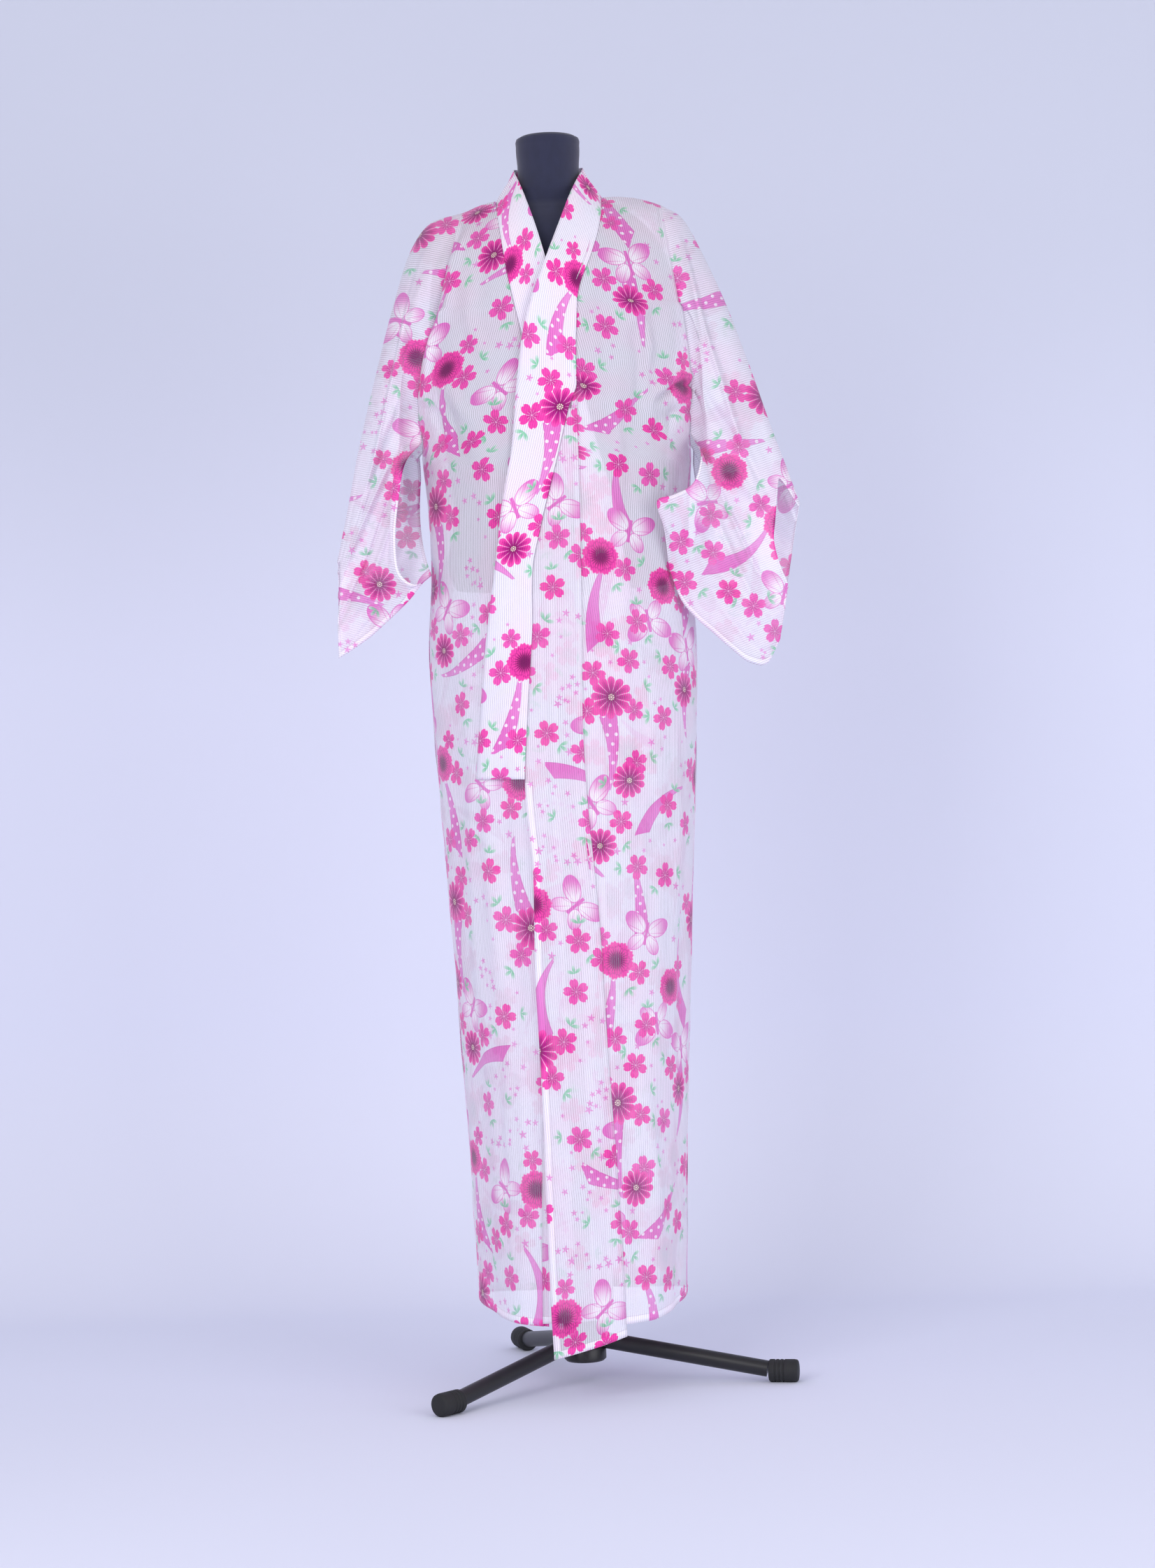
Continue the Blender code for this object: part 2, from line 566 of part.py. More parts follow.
def main():
    """Builds every piece, then moves them all so that the middle of their box is at the origin."""
    for obj in list(bpy.data.objects):
        bpy.data.objects.remove(obj)
    collection = bpy.data.collections.new(COLLECTION)
    bpy.context.scene.collection.children.link(collection)
    white = (0.86, 0.80, 0.86)
    pink = (0.80, 0.45, 0.66)
    panels, overlaps = {}, {}
    for side, name in ((LEFT, "left"), (RIGHT, "right")):
        panels[side] = body_panel(side)
        overlaps[side] = overlap_panel(side)
        cloth(f"body_{name}", panels[side], collection, white, upward)
        cloth(f"overlap_{name}", overlaps[side], collection, pink, from_axis)
        cloth(f"sleeve_{name}", sleeve(side, panels[side]), collection, (0.84, 0.70, 0.82),
              from_sleeve(side), loop=True, inward_wall=True)
    cloth("collar", collar_band(panels, overlaps), collection, (0.90, 0.78, 0.88), from_axis,
          inward_wall=True)
    dress_form(collection)
    stand(collection)
    middle = box_middle()
    floor_mark = bpy.data.objects.new("floor_mark", None)
    collection.objects.link(floor_mark)
    for obj in collection.objects:
        if obj.type == "MESH":
            obj.parent = floor_mark
    floor_mark.location = (-middle[0], -middle[1], 0.0)


main()
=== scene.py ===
"""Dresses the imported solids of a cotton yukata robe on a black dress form.

Metres, +Z up, the robe's front faces -Y and the wearer's left is +X. Every sheet is worked out in
axis coordinates, where the stand's pole is the Z axis, and moved to its place at the end.
"""

from __future__ import annotations

import logging
import math
from dataclasses import dataclass, field
from enum import Enum, IntEnum
from functools import reduce
from typing import Callable, Sequence, Union

import bpy
import numpy as np
from bpy.types import ID, Material, Mesh, Node, NodeSocket, NodeTree, Object
from mathutils import Matrix, Vector


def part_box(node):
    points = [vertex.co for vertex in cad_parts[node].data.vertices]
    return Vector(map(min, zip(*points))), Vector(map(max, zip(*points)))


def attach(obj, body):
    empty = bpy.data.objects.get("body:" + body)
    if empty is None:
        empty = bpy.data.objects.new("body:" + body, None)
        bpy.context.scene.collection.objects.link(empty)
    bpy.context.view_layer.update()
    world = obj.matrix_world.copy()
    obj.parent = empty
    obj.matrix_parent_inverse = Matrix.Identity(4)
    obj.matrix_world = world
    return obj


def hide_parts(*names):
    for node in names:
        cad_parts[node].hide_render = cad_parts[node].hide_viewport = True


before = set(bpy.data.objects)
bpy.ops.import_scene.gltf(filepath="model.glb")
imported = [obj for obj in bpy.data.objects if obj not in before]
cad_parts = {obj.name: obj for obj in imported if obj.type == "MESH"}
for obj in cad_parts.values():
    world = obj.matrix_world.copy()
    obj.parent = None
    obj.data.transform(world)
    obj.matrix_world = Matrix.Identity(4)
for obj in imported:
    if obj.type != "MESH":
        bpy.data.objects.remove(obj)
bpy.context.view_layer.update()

LOG = logging.getLogger("yukata")

Array = np.ndarray
Link = Union[NodeSocket, float, int, Sequence[float]]


class Side(IntEnum):
    """The wearer's sides, as signs of x."""

    LEFT = 1
    RIGHT = -1


class Face(IntEnum):
    """Front and back of the body, as signs of y."""

    FRONT = -1
    BACK = 1


class Motif(Enum):
    """Printed motifs, from the bottom layer of the print up. Those of one kind never touch."""

    STAR = "star"
    STREAMER = "streamer"
    BUTTERFLY = "butterfly"
    LEAF = "leaf"
    BLOSSOM = "blossom"
    CARNATION = "carnation"
    DAISY = "daisy"


# ---------------------------------------------------------------- section tables

# Body rings: height, half width, depth in front of the axis, depth behind it.
BODY_RINGS = (
    (0.05, 0.145, 0.182, 0.168), (0.3, 0.153, 0.176, 0.164), (0.6, 0.168, 0.164, 0.158),
    (0.85, 0.182, 0.156, 0.15), (1.02, 0.19, 0.15, 0.142), (1.22, 0.184, 0.138, 0.13),
    (1.33, 0.193, 0.132, 0.126), (1.42, 0.212, 0.128, 0.124), (1.52, 0.216, 0.126, 0.12),
    (1.8, 0.216, 0.12, 0.116),
)
SPRING = 1.52  # height where the cloth starts to turn over the shoulder
UNDERARM = 1.345  # bottom of the seam that holds the sleeve
SHOULDER_TOP = 1.70
SEAM = 0.0004  # gap between two pieces along a seam
WALL = 0.0006  # thickness of single cloth
LAYER = 0.0060  # how far the over front lies outside the under front
# Shoulder ridge of each side: distance from the axis, height.
RIDGE = {
    Side.LEFT: ((0.0, 1.69), (0.07, 1.6885), (0.1, 1.689), (0.134, 1.684), (0.165, 1.672),
                (0.216, 1.64)),
    Side.RIGHT: ((0.0, 1.69), (0.07, 1.6885), (0.1, 1.6825), (0.121, 1.674), (0.15, 1.665),
                 (0.216, 1.64)),
}
# Seam to the sleeve on each side: height (at the ridge: SHOULDER_TOP), distance from the axis.
ARMSCYE = {
    Side.LEFT: ((1.345, 0.186), (1.4, 0.19), (1.47, 0.185), (1.54, 0.176), (1.62, 0.166),
                (1.7, 0.158)),
    Side.RIGHT: ((1.345, 0.188), (1.4, 0.194), (1.47, 0.176), (1.54, 0.158), (1.62, 0.14),
                 (1.7, 0.124)),
}
# Edge that the collar is sewn to, above the overlap: height, distance.
NECK_EDGE = {
    Side.LEFT: ((1.4, 0.03), (1.484, 0.032), (1.543, 0.038), (1.593, 0.056), (1.64, 0.069),
                (1.7, 0.077)),
    Side.RIGHT: ((1.4, 0.03), (1.484, 0.044), (1.543, 0.057), (1.593, 0.065), (1.64, 0.071),
                 (1.7, 0.077)),
}
# Seam between a front panel and its overlap: height, distance from the axis.
OVERLAP_SEAM = ((0.05, 0.057), (0.22, 0.054), (0.44, 0.045), (0.65, 0.038), (0.9, 0.024),
                (1.125, 0.028), (1.4, 0.03))
# Outer edge of the overlap past the axis, free below the collar's end: height, distance.
OVERLAP_EDGE = ((0.05, 0.038), (0.185, 0.042), (0.44, 0.046), (0.6, 0.05), (0.73, 0.049),
                (0.859, 0.056), (0.952, 0.05), (1.069, 0.04), (1.165, 0.035), (1.213, 0.024),
                (1.318, -0.004), (1.375, -0.018))
OVERLAP_TOP = 1.375
COLLAR_END = 0.859
# Free edge of the collar: height of its sewn edge, its own height, distance past the axis.
COLLAR_BELOW = ((0.859, 0.861, 0.126), (0.952, 0.954, 0.117), (1.069, 1.069, 0.104),
                (1.165, 1.165, 0.089), (1.25, 1.252, 0.0765))
COLLAR_FREE = {
    Side.LEFT: COLLAR_BELOW + ((1.318, 1.325, 0.062), (1.4, 1.42, 0.0515),
                               (1.484, 1.515, 0.034), (1.543, 1.588, 0.007),
                               (1.593, 1.638, -0.0115), (1.64, 1.685, -0.029),
                               (1.7, 1.735, -0.05)),
    Side.RIGHT: COLLAR_BELOW + ((1.318, 1.325, 0.056), (1.4, 1.42, 0.035),
                                (1.484, 1.515, 0.012), (1.543, 1.588, -0.007),
                                (1.593, 1.638, -0.02), (1.64, 1.685, -0.034),
                                (1.7, 1.735, -0.05)),
}
# Free edge beside the neck: its height, y.
COLLAR_DEPTH = ((1.515, -0.128), (1.588, -0.112), (1.638, -0.086), (1.685, -0.056),
                (1.712, -0.033), (1.735, -0.006))
# Collar round the neck: share of the way from shoulder to centre back, x, y, z of its free edge.
COLLAR_NECK = ((0.0, 0.0505, -0.006, 1.735), (0.3, 0.052, 0.022, 1.74),
               (0.6, 0.043, 0.05, 1.743), (1.0, 0.0, 0.071, 1.744))
BACK_NECK_TURN = 120.0  # degrees round the shoulder where the centre back of the neck lies
HEM = 0.108  # height of the body's hem
HEM_SIDE_RISE = 0.018  # how much higher it is at the sides
HEM_REACH = 0.30  # height over which the hem's own shape fades out
# Height of an overlap's hem at its seam and at its edge.
OVERLAP_HEM = {Side.LEFT: (0.092, 0.064), Side.RIGHT: (0.112, 0.118)}
# Sleeve outlines: share along the arm, ridge distance, ridge height, bottom distance, bottom
# height, bottom y, half depth.
SLEEVE_PATH = {
    Side.RIGHT: (
        (0.0, 0.124, 1.674, 0.181, 1.153, -0.09, 0.06),
        (0.14, 0.172, 1.66, 0.196, 1.14, -0.08, 0.058),
        (0.26, 0.199, 1.624, 0.21, 1.124, -0.07, 0.054),
        (0.42, 0.23, 1.535, 0.23, 1.106, -0.055, 0.046),
        (0.58, 0.259, 1.432, 0.252, 1.088, -0.04, 0.038),
        (0.74, 0.284, 1.335, 0.275, 1.07, -0.03, 0.03),
        (0.88, 0.301, 1.255, 0.3, 1.054, -0.022, 0.024),
        (1.0, 0.318, 1.182, 0.32, 1.043, -0.015, 0.016),
    ),
    Side.LEFT: (
        (0.0, 0.158, 1.676, 0.152, 1.15, -0.1, 0.06),
        (0.14, 0.19, 1.656, 0.168, 1.106, -0.092, 0.058),
        (0.26, 0.212, 1.615, 0.187, 1.082, -0.084, 0.054),
        (0.42, 0.246, 1.536, 0.212, 1.06, -0.07, 0.048),
        (0.58, 0.277, 1.447, 0.238, 1.037, -0.055, 0.042),
        (0.74, 0.304, 1.362, 0.264, 1.018, -0.042, 0.036),
        (0.88, 0.326, 1.297, 0.29, 1.017, -0.03, 0.03),
        (1.0, 0.344, 1.243, 0.309, 1.05, -0.02, 0.02),
    ),
}
LENS = 0.003  # least half depth of the sleeve between ridge and bottom
SLEEVE_SPREAD = 0.045  # how far the sleeve's loops part beyond the seam over the arm's length
SLEEVE_ROOM = 0.012  # least room between the hanging sleeve and the body
# Front of the sleeve's open edge beside the body, between its bottom and the underarm: share of
# the way up, distance, y, height.
FURI_FRONT = {
    Side.RIGHT: ((0.16, 0.204, -0.088, 1.14), (0.32, 0.226, -0.082, 1.158),
                 (0.5, 0.23, -0.088, 1.205), (0.68, 0.224, -0.098, 1.255),
                 (0.84, 0.212, -0.11, 1.308)),
    Side.LEFT: ((0.2, 0.146, -0.118, 1.205), (0.36, 0.137, -0.136, 1.243),
                (0.5, 0.16, -0.142, 1.25), (0.64, 0.188, -0.138, 1.266),
                (0.78, 0.2, -0.128, 1.302)),
}
# Middle of the back of the same edge: distance, y, height.
FURI_BACK = {Side.RIGHT: (0.212, 0.03, 1.23), Side.LEFT: (0.218, 0.04, 1.22)}
# How far the front of the cuff lies back from the ridge's end, as a share of the arm.
CUFF_SETBACK = {Side.RIGHT: 0.03, Side.LEFT: 0.17}
# Dress form rings: height, half width, half depth.
FORM_RINGS = (
    (1.135, 0.15, 0.098), (1.15, 0.157, 0.104), (1.24, 0.15, 0.1), (1.35, 0.16, 0.108),
    (1.45, 0.172, 0.112), (1.54, 0.176, 0.102), (1.6, 0.166, 0.086), (1.635, 0.148, 0.07),
    (1.6585, 0.126, 0.056), (1.6738, 0.104, 0.045), (1.685, 0.0806, 0.038), (1.6895, 0.06, 0.039),
    (1.703, 0.047, 0.042), (1.73, 0.044, 0.043), (1.765, 0.0455, 0.044), (1.776, 0.0445, 0.043),
    (1.78, 0.0405, 0.039),
)

# Large folds of the skirt: angle in degrees from the front, width in degrees, outward depth,
# lowest and highest height.
FOLDS = (
    (38, 7, 0.005, 0.05, 1.05), (62, 8, -0.005, 0.05, 0.8), (-36, 8, 0.0045, 0.05, 0.85),
    (-60, 9, -0.005, 0.1, 1.1), (34, 7, -0.005, 1.3, 1.47), (-30, 8, 0.004, 1.1, 1.46),
    (128, 10, 0.006, 0.05, 1.1), (152, 9, -0.005, 0.05, 1.3), (-130, 10, 0.006, 0.05, 1.0),
    (-155, 9, -0.005, 0.05, 1.25),
)
# Creases of the body, given in millimetres: x and height of one end, x and height of the other,
# half width, outward depth. Both fronts and the collar lie in the same creases.
FRONT_CREASES = np.array((
    (196, 1418, 132, 1388, 4.5, -11.2), (192, 1430, 136, 1402, 6, 8.3),
    (190, 1384, 146, 1352, 6, -7), (-114, 1655, -160, 1500, 7, 8.4),
    (-128, 1650, -172, 1500, 6, -7), (-150, 1560, -188, 1385, 6.5, 8.4),
    (-190, 1400, -150, 1352, 6, -8.4), (60, 1560, 52, 1400, 6, 3), (90, 1430, 75, 1180, 6, 3.4),
    (-60, 1380, -85, 1150, 6.5, 3.4), (125, 1520, 128, 1392, 6, 5.4),
    (112, 1500, 117, 1360, 8, -4.7), (150, 1560, 100, 1470, 10, 3.9),
    (176, 1420, 120, 1375, 7, 4.7), (172, 1392, 128, 1330, 8, -4.3),
    (-170, 1430, -110, 1360, 9, 4.3), (-160, 1400, -120, 1300, 7, -3.9),
    (-125, 1560, -98, 1440, 9, 3.7), (-90, 1640, -105, 1520, 10, -3.1),
    (105, 1660, 95, 1540, 11, 3.4), (60, 1280, 52, 930, 6, 3.4), (88, 1180, 70, 620, 9, 4.7),
    (112, 1050, 98, 420, 10, -4.3), (30, 800, 20, 360, 8, 3.4), (-20, 720, -10, 380, 6, 2.8),
    (12, 450, 34, 110, 3.5, 3.4), (66, 560, 70, 120, 7, -3.4), (90, 480, 102, 130, 8, 4),
    (-85, 940, -78, 420, 9, -4), (-112, 1020, -105, 520, 8, 4), (-70, 560, -78, 140, 7, 3.7),
    (-98, 520, -108, 170, 6, -3.4), (-140, 980, -128, 420, 8, 3.7), (150, 960, 138, 360, 7, 3.4),
)) / 1000
BACK_CREASES = np.array((
    (20, 1560, 30, 1180, 11, 4.5), (-35, 1600, -45, 1250, 9, -3.9), (120, 1560, 80, 1420, 10, 4.5),
    (-125, 1550, -85, 1400, 10, 4.2), (165, 1420, 110, 1330, 8, 4.5),
    (-165, 1410, -120, 1320, 8, 4.2), (60, 1240, 52, 700, 10, 4.8), (95, 1000, 80, 300, 10, -4.5),
    (-62, 1180, -50, 540, 9, 4.5), (-105, 960, -92, 300, 10, -4.2), (30, 780, 24, 200, 8, 3.6),
    (-20, 640, -26, 160, 8, -3), (128, 760, 120, 220, 8, 3.9), (-130, 820, -118, 240, 8, 3.9),
)) / 1000
# Faint waves all over the cloth: waves a metre across, waves a metre along, start, height.
RIPPLES = (
    (9.0, 2.3, 0.4, 0.00045), (-13.0, 4.1, 2.1, 0.00035), (17.0, 1.2, 4.0, 0.0003),
    (6.0, 7.5, 1.3, 0.0003), (-5.0, 10.5, 5.1, 0.00022), (23.0, 3.4, 0.9, 0.00018),
)
# Sleeve folds: place across (0 ridge, 1 bottom), width, outward depth, share along at the middle,
# spread along, change of place along, and the faces they are on (-1 front, 1 back, 0 both).
SLEEVE_FOLDS = (
    (0.3, 0.07, 0.009, 0.55, 0.35, 0.0, 0), (0.52, 0.08, -0.008, 0.45, 0.35, 0.0, 0),
    (0.74, 0.07, 0.007, 0.6, 0.35, 0.0, 0), (0.16, 0.026, -0.0085, 0.3, 0.22, 0.3, -1),
    (0.24, 0.03, 0.0119, 0.42, 0.28, 0.34, -1), (0.36, 0.02, -0.0085, 0.55, 0.26, -0.2, -1),
    (0.44, 0.024, 0.0105, 0.64, 0.28, -0.26, -1), (0.6, 0.02, -0.0093, 0.58, 0.28, 0.16, -1),
    (0.68, 0.026, 0.0102, 0.44, 0.26, 0.24, -1), (0.84, 0.022, 0.0082, 0.48, 0.3, -0.16, -1),
    (0.92, 0.018, -0.0061, 0.66, 0.24, 0.1, -1), (0.1, 0.022, -0.0075, 0.78, 0.2, 0.16, 1),
    (0.28, 0.026, 0.0099, 0.52, 0.28, 0.22, 1), (0.46, 0.022, -0.0082, 0.6, 0.3, -0.18, 1),
    (0.62, 0.026, 0.0095, 0.46, 0.28, 0.18, 1), (0.8, 0.022, -0.0075, 0.56, 0.3, -0.14, 1),
)


# ---------------------------------------------------------------- mathematics

def smooth(table: Sequence[Sequence[float]], at: Array, column: int) -> Array:
    """Reads a smooth curve through one column of a table.

    Between two rows the curve is the cubic that has their values and slopes (Hermite), where a
    row's slope is the weighted mean of its neighbours' differences.

    Args:
        table: Rows whose first column rises.
        at: Values of the first column to read the curve at.
        column: Which column to read.

    Returns:
        The values of the curve, in the shape of at.
    """
    knots = np.array([row[0] for row in table], float)
    values = np.array([row[column] for row in table], float)
    slopes = np.gradient(values, knots)
    at = np.clip(np.asarray(at, float), knots[0], knots[-1])
    i = np.clip(np.searchsorted(knots, at) - 1, 0, len(knots) - 2)
    span = knots[i + 1] - knots[i]
    t = (at - knots[i]) / span
    return ((2 * t**3 - 3 * t**2 + 1) * values[i] + (t**3 - 2 * t**2 + t) * span * slopes[i]
            + (3 * t**2 - 2 * t**3) * values[i + 1] + (t**3 - t**2) * span * slopes[i + 1])


def bearing(degrees: float) -> tuple[float, float]:
    """Cosine and sine of an angle in degrees."""
    return math.cos(math.radians(degrees)), math.sin(math.radians(degrees))


def ease(low: float, high: float, at: Array) -> Array:
    """Rises from 0 at low to 1 at high as 3t^2 - 2t^3."""
    t = np.clip((np.asarray(at, float) - low) / (high - low), 0, 1)
    return t * t * (3 - 2 * t)


def creased(table: Array, x: Array, z: Array) -> Array:
    """Adds up soft creases, each a Gaussian ridge or trough along a straight line.

    A crease's height is depth * exp(-(d / width)^2), where d is the distance to its line, and it
    dies away at both ends as the sine of the share along it.

    Args:
        table: Rows of x, z, x, z, half width, depth.
        x: Across the cloth, in metres.
        z: Along the cloth, in metres.

    Returns:
        Outward displacement in metres.
    """
    total = np.zeros(np.broadcast(x, z).shape)
    for x0, z0, x1, z1, width, depth in table:
        way = np.array([x1 - x0, z1 - z0])
        length = float(np.hypot(*way))
        along = ((x - x0) * way[0] + (z - z0) * way[1]) / length**2
        aside = ((x - x0) * way[1] - (z - z0) * way[0]) / length
        bow = 0.004 * np.sin(7 * along + 40 * x0)
        total += depth * np.exp(-(((aside + bow) / width) ** 2)) * np.sin(
            math.pi * np.clip(along, 0, 1)) ** 0.7
    return total


def rippled(x: Array, z: Array) -> Array:
    """Sums the faint waves.

    Each is height * sin(2 pi (across x + along z) + start), bent by a slow wave.
    """
    bent = x + 0.012 * np.sin(9.0 * z + 1.7)
    total = np.zeros(np.broadcast(x, z).shape)
    for across, along, start, height in RIPPLES:
        total += height * np.sin(2 * math.pi * (across * bent + along * z) + start)
    return total


def arc_lengths(points: Array, axis: int) -> Array:
    """Distance run along one axis of a grid of points, from 0 at its start."""
    steps = np.linalg.norm(np.diff(points, axis=axis), axis=-1)
    start = np.zeros_like(np.take(steps, [0], axis=axis))
    return np.concatenate([start, np.cumsum(steps, axis=axis)], axis=axis)


def unit(vectors: Array) -> Array:
    """Vectors of length 1 in the same directions."""
    return vectors / np.linalg.norm(vectors, axis=-1, keepdims=True)


def unrolled(points: Array) -> Array:
    """Places of a grid on its flat cut: run across from its first column, mean run along."""
    run = arc_lengths(points, 0)
    along = np.broadcast_to(run.mean(1, keepdims=True), run.shape)
    return np.stack([arc_lengths(points, 1), along], -1)


def resample(points: Array, spacing: float) -> Array:
    """Puts points at an even spacing along a polyline."""
    run = arc_lengths(points, 0)
    count = max(2, int(round(run[-1] / spacing)) + 1)
    at = np.linspace(0, run[-1], count)
    return np.stack([np.interp(at, run, points[:, k]) for k in range(points.shape[1])], -1)


def grid_faces(rows: int, columns: int, loop: bool = False) -> Array:
    """Quads of a grid, each as four vertex numbers, closed along its columns if loop is set."""
    last = columns if loop else columns - 1
    r, c = np.meshgrid(np.arange(rows - 1), np.arange(last), indexing="ij")
    n = (c + 1) % columns
    return np.stack([r * columns + c, r * columns + n, (r + 1) * columns + n,
                     (r + 1) * columns + c], -1).reshape(-1, 4)


def closed_faces(rows: int, around: int) -> list[tuple[int, ...]]:
    """Faces of stacked rings, with one face over each end."""
    sides = [tuple(face) for face in grid_faces(rows, around, True).tolist()]
    last = (rows - 1) * around
    return sides + [tuple(reversed(range(around))), tuple(range(last, last + around))]


# ---------------------------------------------------------------- the body's form

def folds_out(angle: Array, height: Array) -> Array:
    """Outward depth of the skirt's large folds: Gaussians in angle, eased in and out in height."""
    total = np.zeros(np.broadcast(angle, height).shape)
    for place, width, depth, low, high in FOLDS:
        reach = ease(low - 0.10, low + 0.06, height) * (1 - ease(high - 0.15, high, height))
        total = total + depth * np.exp(-(((angle - place) / width) ** 2)) * reach
    return total


def relief(x: Array, height: Array, face: Face) -> Array:
    """Creases and ripples of the body at a place, less of them where the shoulders carry it."""
    table = FRONT_CREASES if face == Face.FRONT else BACK_CREASES
    carried = ease(1.56, 1.66, height)
    return (creased(table, x, height) * (1 - 0.7 * carried)
            + (rippled(x + 0.4 * (face == Face.BACK), height) + 0.0006) * (1 - 0.6 * carried))


def body_point(x: Array, height: Array, face: Face, layer: Union[Array, float] = 0.0) -> Array:
    """Points of the body's surface.

    At a height the body is an ellipse: x = half * sin(a), y = -+ depth * cos(a). The point is
    moved along the ellipse's normal by the layer, the large folds and the small relief.

    Args:
        x: Distances from the axis, positive to the wearer's left.
        height: Heights.
        face: Front or back.
        layer: Distance outside the under layer.

    Returns:
        Points, with x, y, z in the last axis.
    """
    x, height = np.broadcast_arrays(np.asarray(x, float), np.asarray(height, float))
    half = smooth(BODY_RINGS, height, 1)
    depth = smooth(BODY_RINGS, height, 2 if face == Face.FRONT else 3)
    sine = np.clip(x / half, -1, 1)
    cosine = np.sqrt(1 - sine**2)
    angle = np.degrees(np.arcsin(sine))
    if face == Face.BACK:
        angle = np.where(angle < 0, -180 - angle, 180 - angle)
    out = layer + folds_out(angle, height) + relief(x, height, face)
    normal = unit(np.stack([sine * depth, face * cosine * half], -1))
    flat = np.stack([half * sine, face * depth * cosine], -1) + normal * out[..., None]
    return np.concatenate([flat, height[..., None]], -1)


def over_layer(x: Array, height: Array, side: Side) -> Array:
    """How far the left front lies out, coming down to nothing at its side and its shoulder."""
    if side == Side.RIGHT:
        return np.zeros(np.broadcast(x, height).shape)
    half = smooth(BODY_RINGS, height, 1)
    angle = np.degrees(np.arcsin(np.clip(x / half, -1, 1)))
    return LAYER * (1 - ease(48, 84, angle)) * (1 - ease(1.56, 1.68, height))


def near_hem(height: Array) -> Array:
    """1 at the hem, easing to 0 where the hem's own shape has faded out."""
    return 1 - ease(HEM, HEM + HEM_REACH, height)


# ---------------------------------------------------------------- sheets

@dataclass
class Sheet:
    """A grid of points on a cloth, with its place on the flat cut and its distance from the edges.

    Attributes:
        points: Rows, columns, xyz.
        flat: Rows, columns, (across the cloth's width, along its length), in metres.
        seam: Distance from the nearest sewn edge whose allowance is pressed under this sheet.
        hem: Distance from the nearest hemmed edge.
        loop: Whether the last column joins the first.
    """

    points: Array
    flat: Array
    seam: Array
    hem: Array
    loop: bool = False


FAR = 9.0  # stands for no such edge
# Columns of a body panel that are its seam allowance: reach past the edge, share of the depth.
TUCK_STEPS = ((0.008, 1.0), (0.004, 1.0), (0.0, 0.9))
TUCKED = len(TUCK_STEPS)
TUCK_DEPTH = {Side.LEFT: 0.0014, Side.RIGHT: 0.0028}  # how deep they lie under the seam


